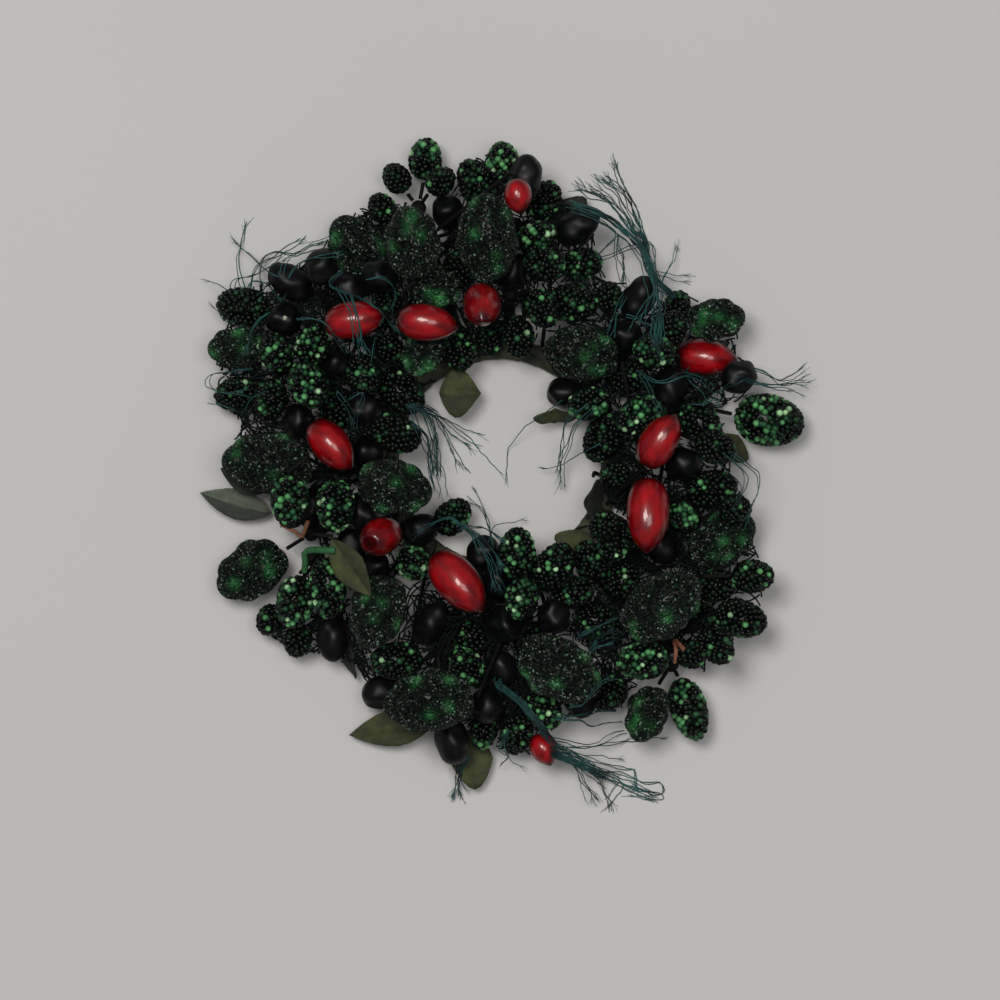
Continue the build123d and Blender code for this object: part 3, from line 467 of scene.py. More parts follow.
def bead_skin(fruit):
    """Beads of many greens on a dark core."""
    draw = fruit.draw
    share, turn = spread_on(fruit, BEAD_GAP)
    count = len(share)
    share = np.clip(share + draw.normal(scale=BEAD_SHIFT, size=count), *BEAD_ENDS)
    turn = turn + draw.uniform(*ANY_TURN) + draw.normal(scale=BEAD_SWERVE, size=count)
    places, normals = on_skin(fruit, share, turn)
    sizes = BEAD_RADIUS * draw.uniform(*BEAD_SIZES, count)
    normals = unit(normals + draw.normal(scale=BEAD_LEAN, size=normals.shape))
    spins = draw.uniform(*ANY_TURN, count)
    beads = set_out(bead, places - normals * sizes[:, None] * BEAD_SUNK, normals, sizes, spins)
    # Painted light: berries that face the light are dealt more of the paler greens.
    lit = min(math.dist(fruit.middle[:2] / MM, spot) for spot in LIT_BERRIES) < LIT_REACH
    shade = BEAD_SHADES[draw.choice(len(BEAD_SHADES), count, p=LIT_SHARES if lit else DIM_SHARES)]
    shade = shade * draw.uniform(*UNEVEN, (count, 1))
    core = lathe(fruit, *CORE_GRID, inset=BEAD_RADIUS * CORE_SUNK)[:2]
    # Painted light: each bead's top is tinted brighter than its rim.
    bead_tints = (shade[:, None] * bead_painted_light_rings[None, :, None]).reshape(-1, 3)
    core_tints = np.tile(CORE_BLACK, (len(core[0]), 1))
    return [beads, core], [bead_tints, core_tints], lathe(fruit, *CORE_GRID)[:2]


dress(beaded, bead_glass, bead_skin)

# %% [markdown]
# Sugared fruit: a lobed egg rolled in fine glass grains. Each grain is a small, skew pyramid with flat
# faces, so it glints one way and not another, as sugar does, and a few grains are painted pale as painted
# highlights. The grains are let down on the solid's own lobes with rays, and a few spots where the skin
# faces up are painted brighter green, as painted light.

# %% Sugared fruit
GRAIN_GAP = 0.44 * MM
GRAIN_SIZE = 0.3 * MM
GRAIN_SUNK = 0.06 * MM
GRAIN_SWERVE, GRAIN_LEAN = 0.03, 0.25
SUGAR_GRID, PLAIN_GRID = (26, 36), (12, 18)
SUGAR_CORE_INSET = 0.2 * MM
# The palest shade, dealt to a few grains, is a painted highlight: painted glints.
SUGAR_SHADES_AND_GLINTS = np.array([ink(5, 9, 6), ink(11, 23, 15), ink(26, 50, 34), ink(104, 130, 110)])
SUGAR_SHARES = (0.5, 0.33, 0.145, 0.025)
# Painted light: a few spots where the skin faces up are painted brighter green.
PAINTED_GLOW_GREEN = ink(50, 116, 62)
GLOW_REACH = 1.15 * MM
GLOWS = 5
GLOW_LEVELS = (0.3, 1.0)
GLOW_SLOPE = 0.35  # glows are only where the skin faces up by this much
grain_base = [(1.0, 0.1, -0.5), (-0.2, 0.95, -0.5), (-0.9, -0.2, -0.5), (0.1, -1.0, -0.5)]
grain_tip = (0.12, 0.08, 0.6)
grain = (np.array([*grain_base, grain_tip]), [(0, 1, 4), (1, 2, 4), (2, 3, 4), (3, 0, 4)])


def sugar_skin(fruit):
    """Grains let down on a fruit's lobes, with a few glowing spots."""
    draw = fruit.draw
    share, turn = spread_on(fruit, GRAIN_GAP)
    count = len(share)
    turn = turn + draw.normal(scale=GRAIN_SWERVE, size=count)
    places, normals = drawn_in(fruit, *on_skin(fruit, share, turn))
    places = places - normals * GRAIN_SUNK
    sizes = GRAIN_SIZE * draw.uniform(*UNEVEN, count)
    leaning = unit(normals + draw.normal(scale=GRAIN_LEAN, size=normals.shape))
    grains = set_out(grain, places, leaning, sizes, draw.uniform(*ANY_TURN, count))
    # A few grains get the palest shade as painted glints.
    shade = SUGAR_SHADES_AND_GLINTS[draw.choice(len(SUGAR_SHADES_AND_GLINTS), count, p=SUGAR_SHARES)]
    shade = shade * draw.uniform(*UNEVEN, (count, 1))
    # Painted light: brighter green spots, only where the skin faces up.
    upward = np.flatnonzero(normals[:, 2] > GLOW_SLOPE)
    for spot in draw.choice(upward, GLOWS, replace=False):
        near = np.exp(-((np.linalg.norm(places - places[spot], axis=1) / GLOW_REACH) ** 2))[:, None]
        shade = shade + PAINTED_GLOW_GREEN * near * draw.uniform(*GLOW_LEVELS)
    core = lathe(fruit, *SUGAR_GRID, inset=SUGAR_CORE_INSET, fitted=True)[:2]
    tints = [np.repeat(shade, len(grain[0]), axis=0), np.tile(CORE_BLACK, (len(core[0]), 1))]
    return [grains, core], tints, lathe(fruit, *PLAIN_GRID)[:2]


dress(sugared, sugar_glass, sugar_skin, smooth=False)

# %% [markdown]
# Dark berries: smooth, a little lumpy, almost black with a plum or grey cast. A swell on a turned skin is
# enough.

# %% Dark berries
DARK_SWELL = 0.22 * MM
DARK_SWELL_SIZE = 3.4 * MM
DARK_GRID = (24, 36)
DARK_SHADES = np.array([ink(5, 5, 6), ink(7, 8, 8), ink(5, 8, 7), ink(11, 9, 12)])


def dark_skin(fruit):
    """A lumpy smooth skin in one dark shade, a little uneven."""
    swell = ripple(fruit.draw, DARK_SWELL_SIZE, DARK_SWELL)
    skin = lathe(fruit, *DARK_GRID, inset=DARK_SWELL, rough=swell)[:2]
    shade = DARK_SHADES[fruit.draw.integers(len(DARK_SHADES))]
    return [skin], [shade * fruit.draw.uniform(*UNEVEN, (len(skin[0]), 1))], skin


dress(dark, dark_satin, dark_skin)

# %% [markdown]
# Red hips: papier-like cores dipped in red lacquer, so the gloss is strong. The colour is painted darker at
# the stem and the point, as painted shade. The streaks are noise drawn out along the hip, which needs the
# share along the hip and the way round it: those are kept on the mesh as a vector. The colour is also
# painted darker the less the skin faces up, as painted shade. The skin is drawn in to the solid, and has a
# small hollow at the stem.

# %% Red hips
HIP_RED = ink(176, 8, 20)
HIP_DEEP = ink(104, 3, 11)
HIP_SWELL = 0.07 * MM
HIP_SWELL_SIZE = 6 * MM
HIP_INSET = 0.08 * MM
HIP_GRID = (28, 36)
WELL_WIDTH, WELL_DEPTH = 0.03, 0.05  # the hollow at the stem, as shares of a hip's length
LACQUER = {"Roughness": 0.32, "Specular IOR Level": 0.3, "Coat Weight": 0.5, "Coat Roughness": 0.05}
red_lacquer, shader, tree = finish("red_lacquer")
marks = add(tree, "ShaderNodeAttribute", attribute_name="along").outputs["Vector"]
stretch = add(tree, "ShaderNodeVectorMath", marks, operation="MULTIPLY")
stretch.inputs[1].default_value = (1.2, 1.0, 1.0)
streak = noise(tree, stretch.outputs["Vector"], 2.0)
share_along = add(tree, "ShaderNodeSeparateXYZ", marks).outputs["X"]
# Painted shade: the colour is darker towards the stem and the point.
painted_end_shade = ramp(tree, share_along, (0.0, 0.06), (0.09, 0.7), (0.26, 1.0), (0.78, 0.9), (0.93, 0.45), (1.0, 0.1))
# Painted shade: the colour is darker the less the skin faces up.
normal = add(tree, "ShaderNodeNewGeometry").outputs["Normal"]
upward = add(tree, "ShaderNodeSeparateXYZ", normal).outputs["Z"]
painted_low_shade = ramp(tree, upward, (0.0, 0.2), (0.5, 0.5), (0.9, 1.0))
red = ramp(tree, streak, (0.3, HIP_DEEP), (0.66, HIP_RED))
tree.links.new(scaled(tree, scaled(tree, red, painted_end_shade), painted_low_shade), shader.inputs["Base Color"])
bump(tree, shader, streak, 0.12, 0.0004)
for socket, value in LACQUER.items():
    shader.inputs[socket].default_value = value


def hip_skin(fruit):
    """A smooth skin with a hollow at the stem, marked along the hip and round it."""
    swell = ripple(fruit.draw, HIP_SWELL_SIZE, HIP_SWELL)
    corners, faces, share = lathe(fruit, *HIP_GRID, inset=HIP_INSET, rough=swell, fitted=True)
    well = np.exp(-((share / WELL_WIDTH) ** 2)) * WELL_DEPTH * fruit.length
    corners = corners + fruit.axis * well[:, None]
    out = (corners - fruit.middle) / fruit.half
    marks = np.column_stack([share, out @ fruit.across, out @ fruit.other])
    return [(corners, faces)], [marks], (corners, faces)


dress(hips, red_lacquer, hip_skin, mark="along")

# %% [markdown]
# Leaves: stiffened woven cloth, stamped to a pointed oval and folded along the midrib. Each is a sheet of
# quads with a crease, a little curl and a cut edge that isn't quite even. The weave is two sets of waves,
# drawn across the sheet in its own millimetres, that bump the surface and darken the gaps between the
# threads. One half of a folded leaf can lie in its own shade, so a third number on the sheet says how much
# light each half keeps.

# %% Cloth finish
WEAVE_SCALE = 0.78  # waves of a thread about 0.4 mm wide, on a sheet laid out in millimetres


def cloth_finish(name, light, deep):
    """Woven cloth: crossing threads in two greens."""
    made, shader, tree = finish(name)
    marks = add(tree, "ShaderNodeAttribute", attribute_name="along").outputs["Vector"]
    threads = []
    for way in "XY":
        settings = dict(bands_direction=way, Scale=WEAVE_SCALE, Distortion=0.35, Detail=2.0)
        threads.append(add(tree, "ShaderNodeTexWave", marks, **settings).outputs["Fac"])
    weave = add(tree, "ShaderNodeMath", *threads, operation="MULTIPLY").outputs["Value"]
    worn = add(tree, "ShaderNodeMath", weave, operation="MULTIPLY_ADD")
    worn.inputs[1].default_value = 0.55
    tree.links.new(noise(tree, marks, 0.5, 4.0), worn.inputs[2])
    green = ramp(tree, worn.outputs["Value"], (0.3, deep), (1.0, light))
    kept_light = add(tree, "ShaderNodeSeparateXYZ", marks).outputs["Z"]
    tree.links.new(scaled(tree, green, kept_light), shader.inputs["Base Color"])
    bump(tree, shader, weave, 0.7, 0.00012)
    shader.inputs["Roughness"].default_value = 0.75
    return made


olive_cloth = cloth_finish("olive_cloth", ink(80, 86, 42), ink(22, 27, 12))
pale_cloth = cloth_finish("pale_cloth", ink(112, 120, 104), ink(66, 74, 62))
dark_cloth = cloth_finish("dark_cloth", ink(38, 44, 32), ink(16, 20, 14))
print("cloths", olive_cloth.name, pale_cloth.name, dark_cloth.name)

# %% Leaves
LEAF_ROWS = 30
LEAF_COLUMNS = 10
LEAF_THICKNESS = 0.28 * MM
PLAIN_FOLD = 0.25
FULLEST, ROUNDNESS = 0.88, 1.8  # the outline: where it is widest, and how full it is
LEAST_WIDTH = 0.02 * MM
CREASE_DEPTH, CREASE_WIDTH = 0.16 * MM, 0.3 * MM
CURL_RISE, CURL_DROOP = 0.5 * MM, 0.9 * MM
LEAF_FILL = 0.98  # how much of its solid's width a leaf takes up
LEAF_SWELL, LEAF_SWELL_SIZE = 0.06 * MM, 5 * MM
EDGE_WOBBLE, WOBBLE_ALONG, WOBBLE_ACROSS = 0.012, 47, 5
# A cloth, its fold, the way the shaded half faces, the light that half keeps, and the most rise.
CLOTHS = {
    "left_leaf": (pale_cloth, 0.5, (0, -1), 0.3, MM),
    "hole_leaf": (olive_cloth, 0.4, (-1, 0), 0.55, MM),
    "bottom_left_leaf": (olive_cloth, 0.2, (0, -1), 0.85, MM),
    "bottom_leaf": (olive_cloth, 0.3, (-1, 0), 0.8, -0.25 * MM),
}
hoop_low, hoop_high = (np.array(corner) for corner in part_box("wire_hoop"))
HOOP_RADIUS = (hoop_high[0] - hoop_low[0] - (hoop_high[2] - hoop_low[2])) / 2


def leaf_sheet(corners, triangles, draw, fold, shaded_way, kept_light, most_rise):
    """A folded sheet in the place of a leaf's solid: corners, faces, and places in the cloth in mm."""
    middle, ways = main_ways(corners, triangles)
    axis = ways[:, 2]
    along = (corners - middle) @ axis
    ends = [middle + axis * along.min(), middle + axis * along.max()]
    ends.sort(key=lambda end: abs(math.hypot(end[0], end[1]) - HOOP_RADIUS))
    base, tip = ends
    length = np.linalg.norm(tip - base)
    axis = (tip - base) / length
    side = ways[:, 1]
    normal = np.cross(axis, side)
    if normal[2] < 0:
        side, normal = -side, -normal
    half = np.abs((corners - middle) @ side).max()
    lift = (corners - base) @ normal
    rough = ripple(draw, LEAF_SWELL_SIZE, LEAF_SWELL)
    shaded_side = np.sign(np.dot(side[:2], shaded_way))
    rows, marks = [], []
    for s in np.linspace(0, 1, LEAF_ROWS + 1):
        taper = 1 - abs(2 * s**FULLEST - 1) ** ROUNDNESS
        width = max(half * LEAF_FILL * taper, LEAST_WIDTH)
        for c in np.linspace(-1, 1, LEAF_COLUMNS + 1):
            x = width * c * (1 + EDGE_WOBBLE * math.sin(s * WOBBLE_ALONG + c * WOBBLE_ACROSS))
            crease = fold * abs(x) - CREASE_DEPTH * math.exp(-((x / CREASE_WIDTH) ** 2))
            curl = CURL_RISE * math.sin(math.pi * s) - CURL_DROOP * s * s
            height = np.clip(np.median(lift) + min(crease + curl, most_rise), lift.min(), lift.max())
            rows.append(base + axis * (s * length) + side * x + normal * height)
            marks.append((x / MM, s * length / MM, kept_light if c * shaded_side > 0 else 1.0))
    rows = np.array(rows)
    rows = rows + normal * rough(rows)[:, None]
    faces = []
    wide = LEAF_COLUMNS + 1
    for r in range(LEAF_ROWS):
        for c in range(LEAF_COLUMNS):
            faces.append((r * wide + c, r * wide + c + 1, (r + 1) * wide + c + 1, (r + 1) * wide + c))
    return rows, faces, np.array(marks)


leaf_count = 0
for node in [*CLOTHS, "fixed_leaves"]:
    for number, (corners, triangles) in enumerate(islands(node)):
        plain = (dark_cloth if number % 2 == 0 else olive_cloth, PLAIN_FOLD, (1, 0), 0.6, MM)
        cloth, *folding = CLOTHS.get(node, plain)
        rows, faces, marks = leaf_sheet(corners, triangles, seeded(corners.mean(0)), *folding)
        leaf = piece(f"{node}_{number}_cloth", rows, faces, cloth, node, along=marks, stands_for=[node])
        solid = leaf.modifiers.new("cloth_thickness", "SOLIDIFY")
        solid.thickness = LEAF_THICKNESS
        solid.offset = 0
        heap(node, (rows, faces))
        leaf_count += 1
print("leaves", leaf_count)

# %% [markdown]
# The hoop is bound with crepe paper tape, wound in overlapping turns. Wound turns could be one long ribbon;
# a ring whose skin steps in and out with each turn shows the same edges with far fewer faces. Underneath it
# is pressed flat.

# %% Tape
TAPE_TURNS = 34
TAPE_STEP = 0.16 * MM
tape_low, tape_high = (np.array(corner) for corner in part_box("tape_wrap"))
tape_radius = (tape_high[0] - tape_low[0]) / 2 - HOOP_RADIUS
tape_height = tape_high[2] - tape_radius
RING_SIDES, TAPE_SIDES = 480, 22
TAPE_PUCKER = 0.05 * MM


def mottled_finish(name, deep, light, scale, roughness, gloss=0.35):
    """A rough finish in two shades, mottled at a scale and with a finer grain pressed in."""
    made, shader, tree = finish(name)
    where = add(tree, "ShaderNodeTexCoord").outputs["Object"]
    cloud = noise(tree, where, scale, 5.0)
    tree.links.new(ramp(tree, cloud, (0.32, deep), (0.7, light)), shader.inputs["Base Color"])
    tree.links.new(span(tree, cloud, roughness * 0.85, roughness * 1.15), shader.inputs["Roughness"])
    bump(tree, shader, noise(tree, where, scale * 5), 0.6, 0.0002)
    shader.inputs["Specular IOR Level"].default_value = gloss
    return made


crepe = mottled_finish("crepe_tape", ink(28, 34, 24), ink(70, 74, 54), 420.0, 0.7)
corners = []
for turn in np.arange(RING_SIDES) * 2 * math.pi / RING_SIDES:
    for j in range(TAPE_SIDES):
        roll = 2 * math.pi * j / TAPE_SIDES
        lap = (TAPE_TURNS * turn / (2 * math.pi) + j / TAPE_SIDES) % 1
        thick = tape_radius - TAPE_STEP * lap - TAPE_PUCKER * math.sin(7 * turn + 3 * roll)
        reach = HOOP_RADIUS + thick * math.cos(roll)
        height = max(tape_height + thick * math.sin(roll), 0.0)
        corners.append((reach * math.cos(turn), reach * math.sin(turn), height))
faces = []
for k in range(RING_SIDES):
    near, far = k * TAPE_SIDES, (k + 1) % RING_SIDES * TAPE_SIDES
    for j in range(TAPE_SIDES):
        beside = (j + 1) % TAPE_SIDES
        faces.append((near + j, far + j, far + beside, near + beside))
piece("tape_winding", np.array(corners), faces, crepe, "tape_wrap", stands_for=["tape_wrap"])
print("tape", TAPE_TURNS, "turns on a hoop", round(2 * HOOP_RADIUS / MM, 1), "mm across")

# %% [markdown]
# Posts, stem wires and the hoop under the tape have their real shape in the solids already, so they stay,
# and get a wrapped-wire finish.

# %% Stems and hoop wire
wrapped_wire = mottled_finish("wrapped_wire", ink(4, 6, 5), ink(15, 19, 14), 600.0, 0.7, gloss=0.15)
wire_nodes = [name for name in sorted(frame["nodes"]) if name.endswith(("_stems", "_hoop"))]
for name in wire_nodes:
    frame["nodes"][name].data.materials.clear()
    frame["nodes"][name].data.materials.append(wrapped_wire)
    if body_of[name] != "ring":
        for skin in islands(name):
            heap(name, skin)
print("wire nodes", len(wire_nodes))

# %% [markdown]
# Everything laid over the fruit needs to know how high the pile is, and where the pieces that bend are. A
# ray dropped on the skins gives the height. Threads stop short of whatever moves, so that nothing is torn
# when a sprig is bent.

# %% The pile, for things laid on it
SKY = 0.1
DOWN = Vector((0, 0, -1))
trees = {}
for group, skins in pile.items():
    corners, faces = join(skins)
    trees[group] = BVHTree.FromPolygons(corners.tolist(), faces)


def pile_top(x, y, group="still"):
    """The height over a place of what is still or of what moves, or of the table."""
    spot = trees[group].ray_cast(Vector((x, y, SKY)), DOWN)[0]
    return spot.z if spot else 0.0


def near_moving(place, gap):
    """Whether a place is over or under something that moves, or within a gap of it."""
    if trees["moving"].ray_cast(Vector((place[0], place[1], SKY)), DOWN)[0]:
        return True
    return trees["moving"].find_nearest(Vector(place), gap)[0] is not None


print("still skins", len(pile["still"]), "moving skins", len(pile["moving"]))

# %% [markdown]
# Twine: jute that has come undone into long, smooth, slightly wavy threads. Each tuft is a curve object
# with many splines, one for each thread, and a brush of finer hairs at its end. The plans are seen from
# above, in millimetres, from root to tip; a number in front says how many threads share the plan. Heights
# come from the pile, and a thread falls no faster than stiff jute does. A plan that starts beside the pile
# is led in to the nearest skin.

# %% Twine finish
teal_jute = mottled_finish("teal_jute", ink(7, 25, 27), ink(48, 104, 99), 160.0, 0.7)
pale_jute = mottled_finish("pale_jute", ink(48, 100, 98), ink(104, 160, 152), 160.0, 0.7)
# Near-black jute for the tangle in the gaps: painted shade between the fruit.
painted_shade_jute = mottled_finish("painted_shade_jute", ink(4, 8, 8), ink(14, 27, 25), 160.0, 0.8, gloss=0.15)
print("finishes", teal_jute.name, pale_jute.name, painted_shade_jute.name)

# %% Twine plans
TUFTS = {
    "upper_left_twine_tuft": [
        (2, (-51, 34.8), (-50.6, 37.8), (-48.8, 40.4), (-45.8, 41.8), (-42.4, 44.2)),
        (2, (-44.3, 37.3), (-43.7, 39.6), (-41.2, 42.4), (-36.3, 44.7)),
        (2, (-47.8, 35), (-48.8, 37.3), (-48.3, 41.1), (-46.2, 42.5), (-42.1, 42), (-37, 43.2)),
        (2, (-42.9, 37), (-41.6, 39.1), (-38.8, 40.6), (-34.2, 41.2)),
        (2, (-52.3, 34.7), (-53.2, 37.8), (-53.1, 42.6), (-51.5, 46.2)),
        (2, (-43.7, 36.8), (-46.5, 37.8), (-49.8, 40.6), (-53.6, 43.9)),
        (2, (-54.4, 34.2), (-53.9, 36.5), (-50.6, 37.5), (-46.7, 39.6), (-44.9, 41.1)),
        (2, (-44.7, 32.4), (-45.7, 33.7), (-47.8, 36), (-50.3, 36), (-51.1, 34.7)),
        (1, (-54.4, 34), (-58, 36.3)),
        (1, (-54.1, 27.8), (-56.7, 28.9), (-58.6, 31.2)),
    ],
    "top_right_twine_bundle": [
        (16, (15.2, 51.3), (18.7, 50.2), (22.2, 48.6), (24.9, 46.5), (27.5, 44.1), (29.4, 41.4),
         (30.5, 38.4), (31.3, 35.2), (31.8, 31.7), (31.3, 27.2), (31.3, 24)),
        (4, (30.5, 38.4), (29.7, 44.6), (27, 47), (24.9, 50.2), (22.2, 52.9), (18.4, 54.2), (17.4, 54.8)),
        (4, (30.7, 38.4), (29.1, 44.9), (26.5, 48.1), (24.3, 51.3), (22.7, 53.4), (20.3, 55.3)),
        (4, (30.9, 38.6), (29.4, 45.1), (27.5, 48.6), (25.9, 51.6), (24.3, 54.8), (22.2, 56.9)),
        (3, (31, 38.4), (29.7, 44.9), (28.3, 48.6), (27.3, 51.3), (25.7, 55), (23.5, 56.6)),
        (3, (31.2, 38.4), (29.9, 44.9), (28.1, 50.2), (27.3, 52.4), (25.1, 55.8), (23.8, 59.1)),
        (2, (30.2, 44.3), (31.8, 41.6), (32, 38.4)),
        (2, (20.6, 48.1), (23.5, 46.5), (23.8, 43.8), (23.8, 41.6), (25.7, 36.3)),
        (2, (24.1, 45.9), (23.8, 44.1), (24.9, 41.9), (25.1, 38.4)),
        (2, (31.3, 38.4), (37.7, 38.2)),
        (2, (32.6, 35.5), (34.2, 39), (35.7, 42.4)),
    ],
    "right_twine_tuft": [
        (3, (51.5, 18.7), (54.4, 17.5), (57.3, 15.7), (60.9, 16.9)),
        (3, (53.2, 15.7), (57.3, 15.9), (60.8, 16.3)),
        (2, (55.3, 14.3), (58.5, 14), (60.9, 13.1)),
        (3, (28, 18.1), (32.4, 15.7), (37.7, 17.2), (42.1, 15.7), (44.4, 12.2), (44.7, 6.6)),
        (2, (37.7, 17.2), (41.2, 13.4), (42.7, 11.9), (48.5, 13.1)),
        (2, (38.6, 11.5), (41.5, 11.6), (44.4, 14), (48, 15.7)),
        (2, (28, 18.1), (30.9, 13.4), (32.4, 9.6)),
        (2, (45, 1.4), (48.5, -1.3), (49.9, -4.5), (48.2, -8.6)),
        (2, (46.8, 1.4), (50.3, -1), (52.6, -4.2), (50.3, -11.3)),
        (1, (43.8, -0.4), (47.1, -3), (49.1, -6), (48.5, -7.7)),
    ],
    "inner_left_twine_tuft": [
        (3, (-18, 11.4), (-14.4, 10.4), (-8.8, 7.3), (-4.7, 5.6)),
        (3, (-17, 10.4), (-13.5, 9), (-9.3, 4.8), (-6.7, 2.8)),
        (3, (-17, 10.4), (-13.5, 9), (-10.7, 3.6), (-8.8, -0.6)),
        (9, (-18.5, 10.8), (-15.5, 9.8), (-13.5, 4.8), (-13, -1.4)),
        (4, (-17.8, 7.4), (-14.7, 4.8), (-14.4, 0.3), (-14, -3.6)),
        (2, (-15.6, 3.4), (-12.7, -1.4), (-11.9, -6.5)),
        (1, (-16, 10.6), (-12.1, 9.3), (-8.2, 7), (-5.4, 4.8), (-1.5, 0.6), (1.1, -1.4)),
    ],
    "lower_right_twine_tail": [
        (12, (0, -46.2), (4.2, -49.3), (7.9, -53.8), (11.2, -58.3), (15.7, -61.1), (19.6, -63.9)),
        (2, (14, -58.8), (18.5, -60.8), (25.2, -62.8), (26.6, -62.8), (26.4, -65.3)),
        (1, (18, -60.2), (24.4, -61.4)),
        (2, (15.7, -61.1), (19.6, -63.4), (25.2, -64.2), (30.3, -66.4), (33.4, -66.4), (34.2, -67.8),
         (33.4, -69), (29.4, -67.8)),
        (1, (25, -66.4), (29.2, -68.1), (32.3, -68.1), (33.1, -69.5), (31.7, -70.1), (28, -69.5)),
        (5, (15.7, -61.1), (20.8, -63.6), (25.2, -65.9), (29.4, -67.6)),
        (2, (14.4, -60.6), (16.2, -63), (17.4, -66.7), (18.1, -68.7)),
        (2, (15.2, -62), (17.1, -65), (19.4, -67.6)),
        (2, (18.4, -62.8), (20.2, -64.2), (21.3, -67.3), (22.2, -69.5)),
        (2, (22.6, -64.4), (25, -65.6), (23.3, -68.4)),
        (2, (11.4, -51.6), (15.2, -51.6), (18, -51), (26.1, -50.5)),
        (2, (11.4, -52.2), (16.3, -52.7), (18.5, -53.8), (25.8, -53)),
        (2, (10.8, -56.6), (14, -57.2), (18.2, -58.3), (23.3, -56.4), (26.9, -54.9)),
        (2, (12.2, -58), (16.8, -58.3), (22.4, -57.8), (32.3, -56.4)),
        (2, (1.6, -54.4), (0, -58.6), (1.7, -59.7), (0.6, -61.6)),
        (1, (1.6, -54.4), (0.8, -57.2), (1.7, -59.4), (4.2, -60.8)),
    ],
}
STRAYS = [
    (2, (-50.3, 18.8), (-56.7, 18.2), (-59.2, 17.6), (-59.7, 15.9), (-57.2, 14.3), (-53.4, 14.4)),
    (1, (-47.6, 14), (-50.3, 12.3), (-51.6, 10.8), (-52.9, 9.2), (-56.7, 10.2)),
    (2, (-47.2, 29.9), (-49.8, 27.6), (-50.8, 23.5)),
    (2, (-38.3, 28.4), (-35.5, 27.6), (-31.9, 23.3)),
    (3, (-34.5, 35.5), (-28.1, 32.7), (-24.3, 30.1), (-21.7, 26.8)),
    (2, (-26.6, 36.3), (-23.5, 36.5), (-21, 33.7), (-22.2, 28.6)),
    (3, (-29.9, 33.7), (-28.6, 29.6), (-27.6, 23)),
    (3, (-33, 34.7), (-30.2, 29.6), (-29.4, 25)),
    (2, (-24.8, 26.3), (-26.6, 21.5)),
    (2, (-33, 14.1), (-29.9, 10.2)),
    (2, (-28.1, 13.6), (-30.2, 8.2)),
    (1, (12.6, 12.4), (8.9, 9.5), (4.7, 6.5), (2, 2.5), (1.6, -1.4)),
    (3, (17.6, 11.6), (13.1, 7.9), (12.3, 2.5), (11.7, 0)),
    (3, (19, 10.8), (15.6, 7.6), (14, 3.4), (12.8, -0.8), (12.8, -3.4)),
    (1, (20.4, 3.4), (17.3, 1.7), (14.5, -0.3), (10.9, -2)),
    (3, (-1.6, -17.6), (-2.3, -13.8), (-3.4, -9.8), (-4.8, -8.1)),
    (3, (1, -16.6), (-2, -14.3), (-4.8, -13.2), (-6.8, -12.9)),
    (3, (-4.3, -19.1), (-6.5, -14.6), (-10.7, -11.8), (-14.9, -13.8)),
    (4, (-8.8, -12.6), (-4.3, -16.3), (-2, -20.5), (-0.4, -24.7)),
    (3, (-6, -14.3), (-2.6, -17.1), (-0.4, -21)),
    (1, (-2.6, -16.6), (-1.8, -13.8), (0.5, -12.9), (3.3, -12.9)),
    (5, (18.2, -38.6), (20, -37.2), (21.9, -36.1)),
    (5, (15.7, -36.1), (18, -34.5), (21.6, -33)),
    (2, (14, -49.6), (16.8, -48.8), (19.6, -45.1), (21.3, -44)),
    (3, (24.9, 33.3), (23.5, 29.9), (23, 26.6)),
    (2, (31, 34.1), (27.5, 28.5)),
    (2, (25.4, 29.3), (27.8, 28.5), (30.4, 27)),
]
LEAF_FRAY = [
    (5, (-6.6, -60.4), (-7.4, -62), (-8.2, -64.4), (-9, -67)),
    (4, (-7.6, -60.4), (-8.6, -62), (-9, -64), (-8.4, -66.6)),
]
print("plans", sum(len(plans) for plans in TUFTS.values()), "and strays", len(STRAYS))

# %% Twine threads
THREAD_RADIUS = 0.11 * MM
THREAD_FALL = 0.8
THREAD_STEP = 0.7 * MM
MOVING_GAP = 1.6 * MM
SWAY = 0.14 * MM
SWAY_LENGTH = 5.5 * MM
DRIFT = 0.5 * MM
SPREAD_ONE, SPREAD_EACH = 0.18, 0.035  # how wide a bundle spreads, and more for each thread, in millimetres
THREAD_ENDS, HAIR_ENDS = (1.0, 0.75), (0.45, 0.3)  # thickness at root and tip, as shares of a thread's
LYING_GAPS = (0.15, 0.6)  # how far over the pile a thread lies, in millimetres
HAIR_LENGTHS = (1.4, 3.2)  # millimetres
HAIR_COUNTS = (3, 6)
HAIR_TURN, HAIR_RISE, HAIR_BEND, HAIR_DROOP = 0.2, 0.3, 40, 30
ROOT_LEAST = 2 * MM  # a root that lies lower than this is on the table
ROOT_HEIGHT = 7 * MM
ROOT_DEPTH = 0.8 * MM


def smooth_line(plan):
    """A plan's points in metres, joined by a smooth line and cut into short steps."""
    plan = np.array(plan) * MM
    ends = np.vstack([2 * plan[0] - plan[1], plan, 2 * plan[-1] - plan[-2]])
    line = []
    for a, b, c, d in zip(ends, ends[1:], ends[2:], ends[3:]):
        count = max(2, int(np.linalg.norm(c - b) / THREAD_STEP))
        for t in np.arange(count)[:, None] / count:
            bend = (2 * a - 5 * b + 4 * c - d) * t**2 + (3 * b - a - 3 * c + d) * t**3
            line.append((2 * b + (c - a) * t + bend) / 2)
    return np.vstack([np.array(line).reshape(-1, 2), plan[-1]])


